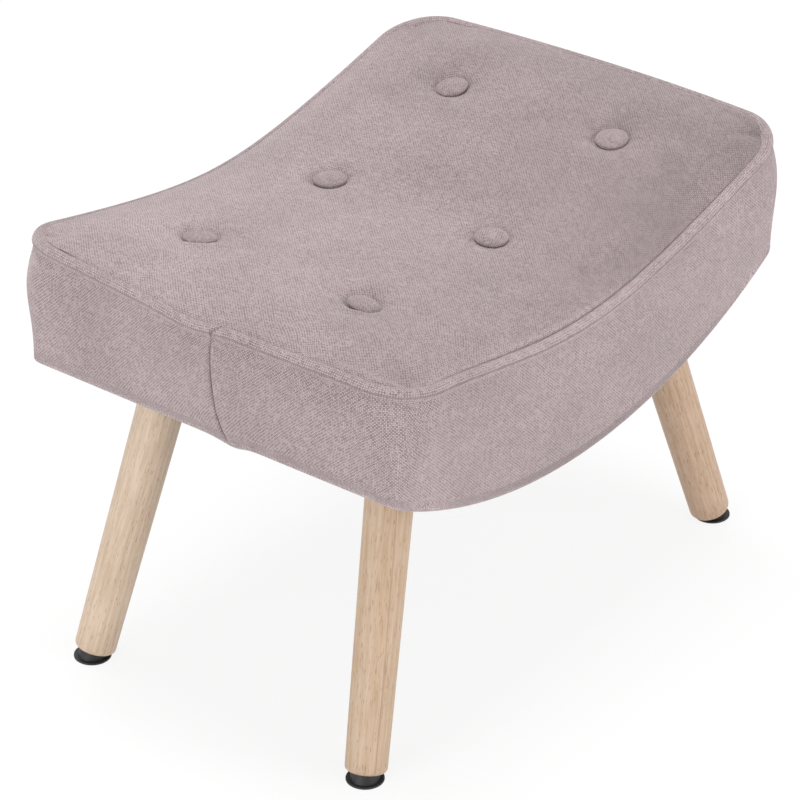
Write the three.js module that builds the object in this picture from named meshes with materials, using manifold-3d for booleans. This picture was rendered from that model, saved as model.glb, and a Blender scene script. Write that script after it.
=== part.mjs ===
// An upholstered footstool with a dipped, button-tufted seat on four splayed wooden legs.
// Millimetres. X runs along the seat, Y across it, Z up. The origin is on the floor, under the middle.

import * as THREE from 'three';
import { mergeVertices } from 'three/addons/utils/BufferGeometryUtils.js';
import Module from 'manifold-3d';

const wasm = await Module();
wasm.setup();

// Fits shared by the whole piece
const touchGap = 0.3; // between pieces that rest on each other
const overrun = 5; // how far a cutting shape passes what it cuts
const weldDistance = 0.0005; // corners closer than this are one corner

// Plan of the seat, at the piping and at the lower edge of the boxing
const topHalfLength = 271.8;
const topHalfWidth = 204.3;
const topEndBow = 12.4; // the ends swell out by this much in their middle
const topCornerRadius = 45;
const lowerEndReach = 0.4; // beyond the ends at the piping
const lowerSideTuck = 8.8; // inside the sides at the piping
const lowerEndBow = 2;
const lowerCornerRadius = 12;

// Side view of the seat: the underside is an arc, the piping a gentler dip with straighter ends
const undersideHeight = 216; // above the floor, at the middle
const undersideRise = 74; // from the middle to the ends
const middleDepth = 136.2; // from the underside up to the middle of the piping
const endDepth = 107.7;
const pipingBend = 108; // length over which the dip turns upwards

// Cover: top panel, boxing and piping
const coverThickness = 1.5;
const pipingRadius = 4.75;
const pipingProud = 2.5; // how far the piping stands out of the boxing
const panelEdgeDrop = 1; // the top panel leaves the seam this far below the piping's middle
const boxingBulge = 4.5;
const foldRadius = 3.5; // where the boxing turns under the frame
const hemWidth = 24; // width of boxing stapled under the frame
const pipingSides = 8;

// Crown and tufts of the top
const crownHeight = 33.5;
const crownFlatnessShare = 3; // exponent: higher is flatter in the middle
const crownShoulderShare = 0.46; // exponent: lower is steeper at the edge
const buttonX = 174.6; // outer buttons, from the middle of the seat
const buttonY = 86;
const tuftDepth = 6; // floor of a tuft below the free crown
const tuftMargin = 1; // the cloth lies flat this far past a button
const tuftReach = 48; // radius at which the tuft fades into the crown

// Filling and frame
const frameCornerRadius = 28; // of the rails, deck and foam
const waddingThickness = 5;
const railThickness = 18;
const railHeight = 60;
const deckThickness = 4;
const legRailWidth = 90;
const legRailThickness = 28;
const cornerBlockReach = 42;
const cornerBlockMargin = 4; // to the rails' upper edges above and to the leg rails below

// Dust cover under the frame
const dustCoverThickness = 1;
const dustCoverInset = 9;

// Legs
const legTopRadius = 21;
const legFootRadius = 18.2;
const legFootRound = 4.5;
const legTopChamfer = 1;
const legSetInX = 82; // from the frame's outer faces to the leg's axis, at the underside
const legSetInY = 68;
const legSplayAlong = THREE.MathUtils.degToRad(16.78);
const legSplayAcross = THREE.MathUtils.degToRad(6.8);
const legSocketDepth = 6;
const legSides = 20;

// Leg fastening: hanger bolt in the leg, tee nut in the leg rail
const boltRadius = 4;
const boltLengthInLeg = 38;
const boltLengthAbove = 24;
const boltPoint = 3;
const nutBarrelRadius = 5.2;
const nutBarrelLength = 12;
const nutFlangeRadius = 11;
const nutFlangeThickness = 1.5;
const fastenerSides = 12;
const legHoleClearance = 0.9; // between a leg and the cloth it passes

// Glides
const glideRadius = 16.5;
const glideThickness = 1.8;
const glideHubInset = 0.8; // of the wedge between disc and foot, inside the flat of the foot
const glideSpigotRadius = 7;
const glideSpigotLength = 9; // inside the foot
const glideSides = 20;

// Buttons, twine and washers
const buttonRadius = 14.5;
const buttonHeight = 6.5;
const buttonEdge = 2.4; // height of the widest part above the cloth
const twineRadius = 1.2;
const twineClearance = 0.5;
const twineInButton = 2.5;
const knotRadius = 3;
const washerRadius = 10;
const washerThickness = 1.5;
const twineSides = 6;
const buttonSides = 16;

// Sizes that follow from these
const lowerHalfLength = topHalfLength + lowerEndReach;
const lowerHalfWidth = topHalfWidth - lowerSideTuck;
const pipingHeight = undersideHeight + middleDepth;
const pipingRise = undersideRise + endDepth - middleDepth;
const tuftFlat = buttonRadius + tuftMargin; // half the square of cloth that lies flat under a button

// Heights of the layers over the arc of the underside
const railFoot = coverThickness + touchGap;
const railTop = railFoot + railHeight;
const deckFoot = railTop + touchGap;
const deckTop = deckFoot + deckThickness;
const foamFoot = deckTop + touchGap;
const waddingFoot = foldRadius + coverThickness;

// Insets from the cover's outer face
const pipingInset = pipingRadius - pipingProud;
const panelInset = pipingInset + pipingRadius + touchGap;
const pipingUnderside = pipingRadius + touchGap; // top edge of the boxing, below the piping's middle
const waddingInset = coverThickness + touchGap;
const waddingShoulder = pipingUnderside + touchGap;
const waddingCrownInset = panelInset + touchGap;
const waddingCrownDrop = coverThickness + touchGap;
const coreInset = waddingInset + waddingThickness + touchGap; // frame, deck and foam
const foamShoulder = waddingShoulder + waddingThickness + touchGap;

const undersideRadius = (lowerHalfLength ** 2 + undersideRise ** 2) / (2 * undersideRise);

const cloth = new THREE.MeshStandardMaterial({ color: 0xb4a4a4, roughness: 0.95, metalness: 0 });
const pipingCloth = new THREE.MeshStandardMaterial({ color: 0xae9c9d, roughness: 0.95, metalness: 0 });
const beech = new THREE.MeshStandardMaterial({ color: 0xceb29b, roughness: 0.6, metalness: 0 });
const plywood = new THREE.MeshStandardMaterial({ color: 0xc9a878, roughness: 0.75, metalness: 0 });
const foam = new THREE.MeshStandardMaterial({ color: 0xe8dcae, roughness: 1, metalness: 0 });
const wadding = new THREE.MeshStandardMaterial({ color: 0xf0f0ee, roughness: 1, metalness: 0 });
const cambric = new THREE.MeshStandardMaterial({ color: 0x1c1c1e, roughness: 1, metalness: 0 });
const blackPlastic = new THREE.MeshStandardMaterial({ color: 0x17171a, roughness: 0.6, metalness: 0 });
const zinc = new THREE.MeshStandardMaterial({ color: 0xb9bcc0, roughness: 0.4, metalness: 0.9 });
const twineFibre = new THREE.MeshStandardMaterial({ color: 0xd8cfbf, roughness: 0.95, metalness: 0 });

const footstool = new THREE.Group();

function mix(from, to, share) {
  return from + (to - from) * share;
}

function addNode(name, geometry, material, parent = footstool) {
  geometry.computeVertexNormals();
  const mesh = new THREE.Mesh(geometry, material);
  mesh.name = name;
  parent.add(mesh);
  return mesh;
}

// Solids for joining and cutting

function toSolid(geometry) {
  const bare = geometry.clone();
  bare.deleteAttribute('normal');
  bare.deleteAttribute('uv');
  const welded = mergeVertices(bare, weldDistance);
  return new wasm.Manifold(new wasm.Mesh({
    numProp: 3,
    vertProperties: Float32Array.from(welded.attributes.position.array),
    triVerts: Uint32Array.from(welded.index.array),
  }));
}

function toGeometry(solid) {
  const mesh = solid.getMesh();
  const geometry = new THREE.BufferGeometry();
  geometry.setAttribute('position', new THREE.BufferAttribute(mesh.vertProperties, mesh.numProp));
  geometry.setIndex(new THREE.BufferAttribute(mesh.triVerts, 1));
  return geometry;
}

// The seat's curves

// The arc that the frame's lower edge follows
function undersideZ(x) {
  return undersideHeight + undersideRadius - Math.sqrt(undersideRadius ** 2 - x ** 2);
}

function undersideSlope(x) {
  return x / Math.sqrt(undersideRadius ** 2 - x ** 2);
}

// The middle of the piping, seen from the side
function pipingZ(x) {
  const lift = Math.hypot(pipingBend, x) - pipingBend;
  const fullLift = Math.hypot(pipingBend, topHalfLength) - pipingBend;
  return pipingHeight + pipingRise * lift / fullLift;
}

// Lines of the seat's grid along one axis: each tuft has a line through it and one to each side of it,
// and the lines crowd together where the crown falls to the seam.
function gridLines(stops, counts) {
  const lines = [stops[0]];
  counts.forEach((count, i) => {
    const last = i === counts.length - 1;
    for (let k = 1; k <= count; k += 1) {
      const share = last ? Math.sin((k / count) * Math.PI / 2) : k / count;
      lines.push(mix(stops[i], stops[i + 1], share));
    }
  });
  return lines;
}

const xFlatEnd = buttonX + tuftFlat;
const yFlatEnd = buttonY + tuftFlat;
const xStops = [0, tuftFlat, buttonX - tuftFlat, xFlatEnd, topHalfLength];
const yStops = [0, buttonY - tuftFlat, yFlatEnd, topHalfWidth];
const halfXLines = gridLines(xStops, [1, 4, 2, 4]);
const halfYLines = gridLines(yStops, [2, 2, 4]);

function mirrored(lines) {
  return [...lines.slice(1).reverse().map((value) => -value), ...lines];
}

const xLines = mirrored(halfXLines);
const yLines = mirrored(halfYLines);
const coverGrid = { xLines, yLines };
const foamGrid = {
  xLines: mirrored(gridLines(xStops, [1, 2, 1, 2])),
  yLines: mirrored(gridLines(yStops, [1, 1, 2])),
};

// The seat's plan at one level
const topPlan = {
  halfLength: topHalfLength,
  halfWidth: topHalfWidth,
  bow: topEndBow,
  radius: topCornerRadius,
};
const lowerPlan = {
  halfLength: lowerHalfLength,
  halfWidth: lowerHalfWidth,
  bow: lowerEndBow,
  radius: lowerCornerRadius,
};
// Frame, deck and foam keep to one plan with straight ends, inside the cover at every level
const corePlan = {
  halfLength: Math.min(topHalfLength, lowerHalfLength),
  halfWidth: Math.min(topHalfWidth, lowerHalfWidth),
  bow: 0,
  radius: frameCornerRadius + coreInset,
};

function planAt(share) {
  return {
    halfLength: mix(lowerPlan.halfLength, topPlan.halfLength, share),
    halfWidth: mix(lowerPlan.halfWidth, topPlan.halfWidth, share),
    bow: mix(lowerPlan.bow, topPlan.bow, share),
    radius: mix(lowerPlan.radius, topPlan.radius, share),
  };
}

// How much of an edge's shift a grid line takes: none as far as the tufts, all of it at the edge
function edgeShare(line, flatEnd, half) {
  const beyond = Math.max(Math.abs(line) - flatEnd, 0) / (half - flatEnd);
  return beyond ** 2;
}

// The place in plan of a point of the grid, with the outline drawn in by an inset
function planPoint(lineX, lineY, plan, inset) {
  const endShare = edgeShare(lineX, xFlatEnd, topHalfLength);
  const sideShare = edgeShare(lineY, yFlatEnd, topHalfWidth);
  const halfLength = plan.halfLength - inset;
  const halfWidth = plan.halfWidth - inset;
  const radius = plan.radius - inset;
  let x = Math.abs(lineX) + endShare * (halfLength - topHalfLength);
  let y = Math.abs(lineY) + sideShare * (halfWidth - topHalfWidth);
  const pastX = x - (halfLength - radius);
  const pastY = y - (halfWidth - radius);
  if (pastX > 0 && pastY > 0) {
    const drawIn = Math.max(pastX, pastY) / Math.hypot(pastX, pastY);
    x += pastX * (drawIn - 1);
    y += pastY * (drawIn - 1);
  }
  x += endShare * plan.bow * (1 - (y / halfWidth) ** 2);
  return { x: Math.sign(lineX) * x, y: Math.sign(lineY) * y };
}

// Places on the outline, anticlockwise from the middle of the right end
function halfOutline() {
  const rightEnd = halfYLines.map((y) => [topHalfLength, y]);
  const side = xLines.slice(1, -1).reverse().map((x) => [x, topHalfWidth]);
  const leftEnd = [...halfYLines].reverse().map((y) => [-topHalfLength, y]);
  return [...rightEnd, ...side, ...leftEnd];
}

function fullOutline() {
  const back = halfOutline();
  const front = back.slice(1, -1).reverse().map(([x, y]) => [x, -y]);
  return [...back, ...front];
}

// The crown of the top panel without its tufts
function crownZ(x, y) {
  const along = Math.min(Math.abs(x) / topHalfLength, 1);
  const across = Math.min(Math.abs(y) / topHalfWidth, 1);
  const alongShare = (1 - along ** crownFlatnessShare) ** crownShoulderShare;
  const acrossShare = (1 - across ** crownFlatnessShare) ** crownShoulderShare;
  return pipingZ(x) - panelEdgeDrop + crownHeight * alongShare * acrossShare;
}

const buttonColumns = [['left', -buttonX], ['middle', 0], ['right', buttonX]];
const buttonRows = [['front', -buttonY], ['back', buttonY]];
const tufts = buttonRows.flatMap(([row, y]) => buttonColumns.map(([column, x]) => ({
  name: `${row}_${column}`,
  x,
  y,
  z: crownZ(x, y) - tuftDepth,
  slopeX: (crownZ(x + tuftFlat, y) - crownZ(x - tuftFlat, y)) / (2 * tuftFlat),
  slopeY: (crownZ(x, y + tuftFlat) - crownZ(x, y - tuftFlat)) / (2 * tuftFlat),
})));

function smoothStep(share) {
  const held = Math.min(Math.max(share, 0), 1);
  return held * held * (3 - 2 * held);
}

// The outer face of the top panel: the crown, pulled down flat under each button
function panelZ(x, y, lineX, lineY) {
  let z = crownZ(lineX, lineY) - pipingZ(lineX) + pipingZ(x);
  const flatRadius = Math.hypot(tuftFlat, tuftFlat);
  for (const tuft of tufts) {
    const away = Math.hypot(x - tuft.x, y - tuft.y);
    const pull = 1 - smoothStep((away - flatRadius) / (tuftReach - flatRadius));
    const floor = tuft.z + tuft.slopeX * (x - tuft.x) + tuft.slopeY * (y - tuft.y);
    z = mix(z, floor, pull);
  }
  return z;
}

// Makers of closed shapes

// A closed skin between two matching sheets of points, stitched along their four edges
function skinBetween(outer, inner) {
  const rows = outer.length;
  const columns = outer[0].length;
  const positions = [...outer.flat(), ...inner.flat()].flatMap((p) => [p.x, p.y, p.z]);
  const innerStart = rows * columns;
  const at = (row, column, start) => start + row * columns + column;
  const faces = [];
  const quad = (a, b, c, d) => faces.push(a, b, c, a, c, d);
  for (let i = 0; i < rows - 1; i += 1) {
    for (let j = 0; j < columns - 1; j += 1) {
      quad(at(i, j, 0), at(i + 1, j, 0), at(i + 1, j + 1, 0), at(i, j + 1, 0));
      const [a, b] = [at(i, j, innerStart), at(i, j + 1, innerStart)];
      quad(a, b, b + columns, a + columns);
    }
  }
  for (let i = 0; i < rows - 1; i += 1) {
    const end = columns - 1;
    quad(at(i, 0, innerStart), at(i + 1, 0, innerStart), at(i + 1, 0, 0), at(i, 0, 0));
    quad(at(i, end, 0), at(i + 1, end, 0), at(i + 1, end, innerStart), at(i, end, innerStart));
  }
  for (let j = 0; j < columns - 1; j += 1) {
    const end = rows - 1;
    quad(at(0, j, 0), at(0, j + 1, 0), at(0, j + 1, innerStart), at(0, j, innerStart));
    quad(at(end, j, innerStart), at(end, j + 1, innerStart), at(end, j + 1, 0), at(end, j, 0));
  }
  const geometry = new THREE.BufferGeometry();
  geometry.setAttribute('position', new THREE.Float32BufferAttribute(positions, 3));
  geometry.setIndex(faces);
  return geometry;
}

// An endless tube through a ring of sections
function endlessTube(sections) {
  const sides = sections[0].length;
  const count = sections.length;
  const positions = sections.flat().flatMap((p) => [p.x, p.y, p.z]);
  const faces = [];
  for (let i = 0; i < count; i += 1) {
    const next = (i + 1) % count;
    for (let k = 0; k < sides; k += 1) {
      const beside = (k + 1) % sides;
      const a = i * sides + k;
      const b = next * sides + k;
      const c = next * sides + beside;
      const d = i * sides + beside;
      faces.push(a, b, c, a, c, d);
    }
  }
  const geometry = new THREE.BufferGeometry();
  geometry.setAttribute('position', new THREE.Float32BufferAttribute(positions, 3));
  geometry.setIndex(faces);
  return geometry;
}

// An upright prism of the seat's outline
function planPrism(plan, inset, zLow, zHigh) {
  const corners = fullOutline().map(([x, y]) => planPoint(x, y, plan, inset));
  const shape = new THREE.Shape(corners.map(({ x, y }) => new THREE.Vector2(x, y)));
  const geometry = new THREE.ExtrudeGeometry(shape, { depth: zHigh - zLow, bevelEnabled: false });
  return toSolid(geometry.translate(0, 0, zLow));
}

// A slab right across the seat, between two curves of its side view
function sideSlab(lowZ, highZ) {
  const halfRun = topHalfLength + topEndBow + lowerEndBow;
  const stations = [-halfRun, ...xLines.slice(1, -1), halfRun];
  const lower = stations.map((x) => new THREE.Vector2(x, lowZ(x)));
  const upper = [...stations].reverse().map((x) => new THREE.Vector2(x, highZ(x)));
  const shape = new THREE.Shape([...lower, ...upper]);
  const depth = 2 * (topHalfWidth + overrun);
  const geometry = new THREE.ExtrudeGeometry(shape, { depth, bevelEnabled: false });
  geometry.rotateX(Math.PI / 2);
  return toSolid(geometry.translate(0, depth / 2, 0));
}

function slabOverUnderside(low, high) {
  return sideSlab((x) => undersideZ(x) + low, (x) => undersideZ(x) + high);
}

function box(xLow, xHigh, yLow, yHigh, zLow, zHigh) {
  const geometry = new THREE.BoxGeometry(xHigh - xLow, yHigh - yLow, zHigh - zLow);
  return toSolid(geometry.translate((xLow + xHigh) / 2, (yLow + yHigh) / 2, (zLow + zHigh) / 2));
}

// A turned shape about Z, from its profile of radius and height
function turned(profile, sides) {
  const points = profile.map(([radius, height]) => new THREE.Vector2(radius, height));
  return new THREE.LatheGeometry(points, sides).rotateX(Math.PI / 2);
}

function rod(radius, low, high, sides) {
  return turned([[0, low], [radius, low], [radius, high], [0, high]], sides);
}

// Heights that bound everything in the seat
const seatFloor = undersideHeight - overrun;
const seatCeiling = pipingHeight + pipingRise + crownHeight;

// Cover

function panelSheet(grid, inset, drop) {
  return grid.xLines.map((lineX) => grid.yLines.map((lineY) => {
    const { x, y } = planPoint(lineX, lineY, topPlan, inset);
    return new THREE.Vector3(x, y, panelZ(x, y, lineX, lineY) - drop);
  }));
}

// The crowned upper part of a filling layer, down to a little under its shoulder
function crownBlock(grid, inset, drop, shoulder) {
  const upper = panelSheet(grid, inset, drop);
  const lower = upper.map((row) => row.map((p) => new THREE.Vector3(p.x, p.y, pipingZ(p.x) - shoulder)));
  return toSolid(skinBetween(upper, lower));
}

const threadedTwineRadius = twineRadius + twineClearance;
const sideFactor = 1 / Math.cos(Math.PI / twineSides); // keeps a hole's flats clear of the twine

function twineBores() {
  return tufts.map(({ x, y }) => {
    const bore = rod(threadedTwineRadius * sideFactor, seatFloor, seatCeiling, twineSides);
    return toSolid(bore.translate(x, y, 0));
  });
}

function boredForTwine(solid) {
  return twineBores().reduce((left, bore) => left.subtract(bore), solid);
}

function makeTopPanel() {
  const face = panelSheet(coverGrid, panelInset, 0);
  const back = panelSheet(coverGrid, panelInset, coverThickness);
  const panel = toSolid(skinBetween(face, back));
  addNode('top_panel', toGeometry(boredForTwine(panel)), cloth);
}

// The boxing's cross-section at one place: up from the hem, round the fold and up the wall.
// depth 0 is its outer face, coverThickness its inner face.
function boxingSection(lineX, lineY, depth, ySide) {
  const place = (inset, share) => {
    const { x, y } = planPoint(lineX, lineY, planAt(share), inset);
    const endOfHalf = lineY === 0 ? touchGap / 2 : y;
    return { x, y: ySide * endOfHalf };
  };
  const bend = foldRadius - depth;
  const bendAngleShares = [0, 0.5, 1];
  const under = [[hemWidth, depth]];
  for (const share of bendAngleShares) {
    const angle = share * Math.PI / 2;
    under.push([foldRadius - bend * Math.sin(angle), foldRadius - bend * Math.cos(angle)]);
  }
  const points = under.map(([inset, lift]) => {
    const { x, y } = place(inset, 0);
    return new THREE.Vector3(x, y, undersideZ(x) + lift);
  });
  const wallShares = [0.3, 0.65, 1];
  for (const share of wallShares) {
    const swell = boxingBulge * Math.sin(share * Math.PI);
    const { x, y } = place(depth - swell, share);
    const low = undersideZ(x) + foldRadius;
    const high = pipingZ(x) - pipingUnderside;
    points.push(new THREE.Vector3(x, y, mix(low, high, share)));
  }
  return points;
}

function makeBoxing(name, ySide) {
  const places = ySide > 0 ? halfOutline() : halfOutline().reverse();
  const sheet = (depth) => places.map(([x, y]) => boxingSection(x, y, depth, ySide));
  addNode(name, skinBetween(sheet(0), sheet(coverThickness)), cloth);
}

function makePiping() {
  const centres = fullOutline().map(([lineX, lineY]) => {
    const { x, y } = planPoint(lineX, lineY, topPlan, pipingInset);
    return new THREE.Vector3(x, y, pipingZ(x));
  });
  const up = new THREE.Vector3(0, 0, 1);
  const sections = centres.map((centre, i) => {
    const before = centres[(i + centres.length - 1) % centres.length];
    const after = centres[(i + 1) % centres.length];
    const ahead = after.clone().sub(before).normalize();
    const outward = new THREE.Vector3().crossVectors(ahead, up).normalize();
    const upward = new THREE.Vector3().crossVectors(outward, ahead);
    return Array.from({ length: pipingSides }, (_, k) => {
      const angle = (k / pipingSides) * 2 * Math.PI;
      return centre.clone()
        .addScaledVector(outward, pipingRadius * Math.cos(angle))
        .addScaledVector(upward, pipingRadius * Math.sin(angle));
    });
  });
  addNode('piping', endlessTube(sections), pipingCloth);
}

// Filling

// The straight walls inside the cover, from the arc of the underside up to the seam
function wallBlock(inset, foot, shoulder) {
  const sheet = (plan, zAt) => xLines.map((lineX) => yLines.map((lineY) => {
    const { x, y } = planPoint(lineX, lineY, plan, inset);
    return new THREE.Vector3(x, y, zAt(x));
  }));
  const upper = sheet(topPlan, (x) => pipingZ(x) - shoulder);
  const lower = sheet(lowerPlan, (x) => undersideZ(x) + foot);
  return toSolid(skinBetween(upper, lower));
}

// The room for the frame and the foam, up to a shoulder, with its crown on it. The crown's foot
// reaches below the shoulder, and out over the frame's straight ends.
function coreBody(inset, shoulder, crown) {
  const block = planPrism(corePlan, inset, seatFloor, seatCeiling)
    .intersect(sideSlab(() => seatFloor - overrun, (x) => pipingZ(x) - shoulder));
  return block.add(crownBlock(foamGrid, crown.inset, crown.drop, crown.foot));
}

function makeFilling() {
  const aboveFoot = (foot) => sideSlab((x) => undersideZ(x) + foot, () => seatCeiling);
  const cavityCrown = {
    inset: waddingCrownInset + waddingThickness,
    drop: waddingCrownDrop + waddingThickness,
    foot: foamShoulder + overrun,
  };
  const foamCrown = {
    inset: cavityCrown.inset + touchGap,
    drop: cavityCrown.drop + touchGap,
    foot: cavityCrown.foot - touchGap,
  };
  const outer = wallBlock(waddingInset, waddingFoot, waddingShoulder)
    .add(crownBlock(coverGrid, waddingCrownInset, waddingCrownDrop, waddingShoulder + overrun));
  const cavity = coreBody(coreInset - touchGap, foamShoulder - touchGap, cavityCrown);
  addNode('wadding', toGeometry(boredForTwine(outer.subtract(cavity))), wadding);
  const block = coreBody(coreInset, foamShoulder, foamCrown);
  addNode('seat_foam', toGeometry(boredForTwine(block.intersect(aboveFoot(foamFoot)))), foam);
}

// Frame

const coreHalfLength = corePlan.halfLength - coreInset;
const coreHalfWidth = corePlan.halfWidth - coreInset;
const betweenRails = coreHalfWidth - railThickness; // half the clear width of the frame
const betweenEnds = coreHalfLength - railThickness;

function frameStock(low, high) {
  return planPrism(corePlan, coreInset, seatFloor, seatCeiling).intersect(slabOverUnderside(low, high));
}

function makeRails() {
  const stock = frameStock(railFoot, railTop);
  const past = topHalfLength + overrun;
  for (const [name, side] of [['front', -1], ['back', 1]]) {
    const edges = [side * betweenRails, side * past].sort((a, b) => a - b);
    const half = box(-past, past, edges[0], edges[1], seatFloor, seatCeiling);
    addNode(`side_rail_${name}`, toGeometry(stock.intersect(half)), plywood);
  }
  const endHalfWidth = betweenRails - touchGap;
  for (const [name, side] of [['left', -1], ['right', 1]]) {
    const edges = [side * betweenEnds, side * past].sort((a, b) => a - b);
    const end = box(edges[0], edges[1], -endHalfWidth, endHalfWidth, seatFloor, seatCeiling);
    addNode(`end_rail_${name}`, toGeometry(stock.intersect(end)), plywood);
  }
}

function makeCornerBlocks() {
  const { normal } = legRailPlane(1);
  const legRailTop = (railFoot + chordHeight + legRailThickness) / normal.z;
  const stock = slabOverUnderside(legRailTop + cornerBlockMargin, railTop - cornerBlockMargin);
  const cornerX = betweenEnds - touchGap;
  const cornerY = betweenRails - touchGap;
  for (const [row, sideY] of [['front', -1], ['back', 1]]) {
    for (const [column, sideX] of [['left', -1], ['right', 1]]) {
      const corners = [
        new THREE.Vector2(sideX * cornerX, sideY * cornerY),
        new THREE.Vector2(sideX * (cornerX - cornerBlockReach), sideY * cornerY),
        new THREE.Vector2(sideX * cornerX, sideY * (cornerY - cornerBlockReach)),
      ];
      const prism = new THREE.ExtrudeGeometry(
        new THREE.Shape(corners),
        { depth: seatCeiling - seatFloor, bevelEnabled: false },
      );
      const block = toSolid(prism.translate(0, 0, seatFloor)).intersect(stock);
      addNode(`corner_block_${row}_${column}`, toGeometry(block), beech);
    }
  }
}

function makeDeck() {
  addNode('seat_deck', toGeometry(boredForTwine(frameStock(deckFoot, deckTop))), plywood);
}

// Legs

const splayX = Math.tan(legSplayAlong);
const splayY = Math.tan(legSplayAcross);
const legTilt = Math.atan(Math.hypot(splayX, splayY));
const upZ = new THREE.Vector3(0, 0, 1);

const legRailX = coreHalfLength - legSetInX;
const legFloorX = legRailX + splayX * undersideZ(legRailX);
const legFloorY = coreHalfWidth - legSetInY + splayY * undersideZ(legRailX);

// Where a leg stands: a place on the floor and a direction up its axis
function legLine(sideX, sideY) {
  const floorPoint = new THREE.Vector3(sideX * legFloorX, sideY * legFloorY, 0);
  const upAxis = new THREE.Vector3(-sideX * splayX, -sideY * splayY, 1).normalize();
  return { floorPoint, upAxis };
}

// The plane under a leg rail, which lies along the slope of the underside. Its two edges touch
// the arc on which the side rails stand, so its middle is the height of the arc's chord above it.
const legRailSlope = undersideSlope(legRailX);
const chordHeight = undersideRadius - Math.sqrt(undersideRadius ** 2 - (legRailWidth / 2) ** 2);

function legRailPlane(sideX) {
  const normal = new THREE.Vector3(-sideX * legRailSlope, 0, 1).normalize();
  const point = new THREE.Vector3(sideX * legRailX, 0, undersideZ(legRailX))
    .addScaledVector(normal, railFoot + chordHeight);
  return { point, normal };
}

// Distances up a leg's axis from the floor
const legFootUp = (glideThickness + touchGap + (legFootRadius - legFootRound) * Math.sin(legTilt)
  + legFootRound * (1 - Math.cos(legTilt))) / Math.cos(legTilt);

function legDistances() {
  const { floorPoint, upAxis } = legLine(1, 1);
  const { point, normal } = legRailPlane(1);
  const underRail = point.clone().sub(floorPoint).dot(normal) / upAxis.dot(normal);
  const topOfRail = underRail + legRailThickness / upAxis.dot(normal);
  return { underRail, topOfRail };
}

const { underRail, topOfRail } = legDistances();
const legTopUp = underRail + legSocketDepth;
const legLength = legTopUp - legFootUp;
const nutSeatDepth = Math.tan(legTilt) * (nutFlangeRadius + touchGap) / 2; // flange seat cut into the slope
const nutSeatUp = topOfRail - nutSeatDepth;

// A frame with its Z up the leg's axis and its origin on the floor
function legFrame(sideX, sideY) {
  const { floorPoint, upAxis } = legLine(sideX, sideY);
  const frame = new THREE.Group();
  frame.position.copy(floorPoint);
  frame.quaternion.setFromUnitVectors(upZ, upAxis);
  frame.updateMatrixWorld(true);
  return frame;
}

function along(frame, geometry) {
  return toSolid(geometry.applyMatrix4(frame.matrixWorld));
}

function roundedFoot(radius, round, steps) {
  return Array.from({ length: steps + 1 }, (_, k) => {
    const angle = (k / steps) * Math.PI / 2;
    return [radius - round + round * Math.sin(angle), round - round * Math.cos(angle)];
  });
}

function legGeometry() {
  const spigotBore = (glideSpigotRadius + touchGap) / Math.cos(Math.PI / glideSides);
  const boltBore = (boltRadius + touchGap) / Math.cos(Math.PI / fastenerSides);
  const roundSteps = 3;
  const profile = [
    [0, glideSpigotLength + touchGap],
    [spigotBore, glideSpigotLength + touchGap],
    [spigotBore, 0],
    ...roundedFoot(legFootRadius, legFootRound, roundSteps),
    [legTopRadius, legLength - legTopChamfer],
    [legTopRadius - legTopChamfer, legLength],
    [boltBore, legLength],
    [boltBore, legLength - boltLengthInLeg - touchGap],
    [0, legLength - boltLengthInLeg - touchGap],
  ];
  return turned(profile, legSides);
}

function hangerBoltGeometry() {
  const profile = [
    [0, -boltLengthInLeg],
    [boltRadius / 2, -boltLengthInLeg],
    [boltRadius, -boltLengthInLeg + boltPoint],
    [boltRadius, boltLengthAbove - boltPoint / 2],
    [boltRadius - boltPoint / 2, boltLengthAbove],
    [0, boltLengthAbove],
  ];
  return turned(profile, fastenerSides);
}

function teeNutGeometry() {
  const bore = (boltRadius + touchGap) / Math.cos(Math.PI / fastenerSides);
  const profile = [
    [bore, -nutBarrelLength],
    [nutBarrelRadius, -nutBarrelLength],
    [nutBarrelRadius, touchGap],
    [nutFlangeRadius, touchGap],
    [nutFlangeRadius, touchGap + nutFlangeThickness],
    [bore, touchGap + nutFlangeThickness],
    [bore, -nutBarrelLength],
  ];
  return turned(profile, fastenerSides);
}

// The glide's disc lies flat on the floor. Its hub and spigot lean with the leg.
function glideSolid(frame, sideX, sideY) {
  const disc = rod(glideRadius, 0, glideThickness, glideSides)
    .translate(sideX * legFloorX, sideY * legFloorY, 0);
  const spigotFoot = glideSpigotRadius * Math.tan(legTilt); // starts within the disc
  const spigot = rod(glideSpigotRadius, spigotFoot, legFootUp + glideSpigotLength, glideSides);
  const hubRadius = legFootRadius - legFootRound - glideHubInset;
  const hub = rod(hubRadius, -hubRadius, legFootUp - touchGap, glideSides);
  const past = legFloorX + glideRadius + overrun;
  const aboveDiscFoot = box(-past, past, -past, past, glideThickness / 2, undersideHeight);
  return toSolid(disc).add(along(frame, spigot)).add(along(frame, hub).intersect(aboveDiscFoot));
}

// A leg rail's sockets, bolt holes and nut seats, cut along each leg's axis
function legRailCutters(frame) {
  const socketRadius = (legTopRadius + touchGap) / Math.cos(Math.PI / legSides);
  const holeRadius = (nutBarrelRadius + touchGap) / Math.cos(Math.PI / fastenerSides);
  const seatRadius = (nutFlangeRadius + touchGap) / Math.cos(Math.PI / fastenerSides);
  return [
    rod(socketRadius, underRail - legTopRadius, legTopUp + touchGap, legSides),
    rod(holeRadius, underRail, topOfRail + overrun, fastenerSides),
    rod(seatRadius, nutSeatUp, topOfRail + legRailThickness, fastenerSides),
  ].map((cutter) => along(frame, cutter));
}

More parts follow.
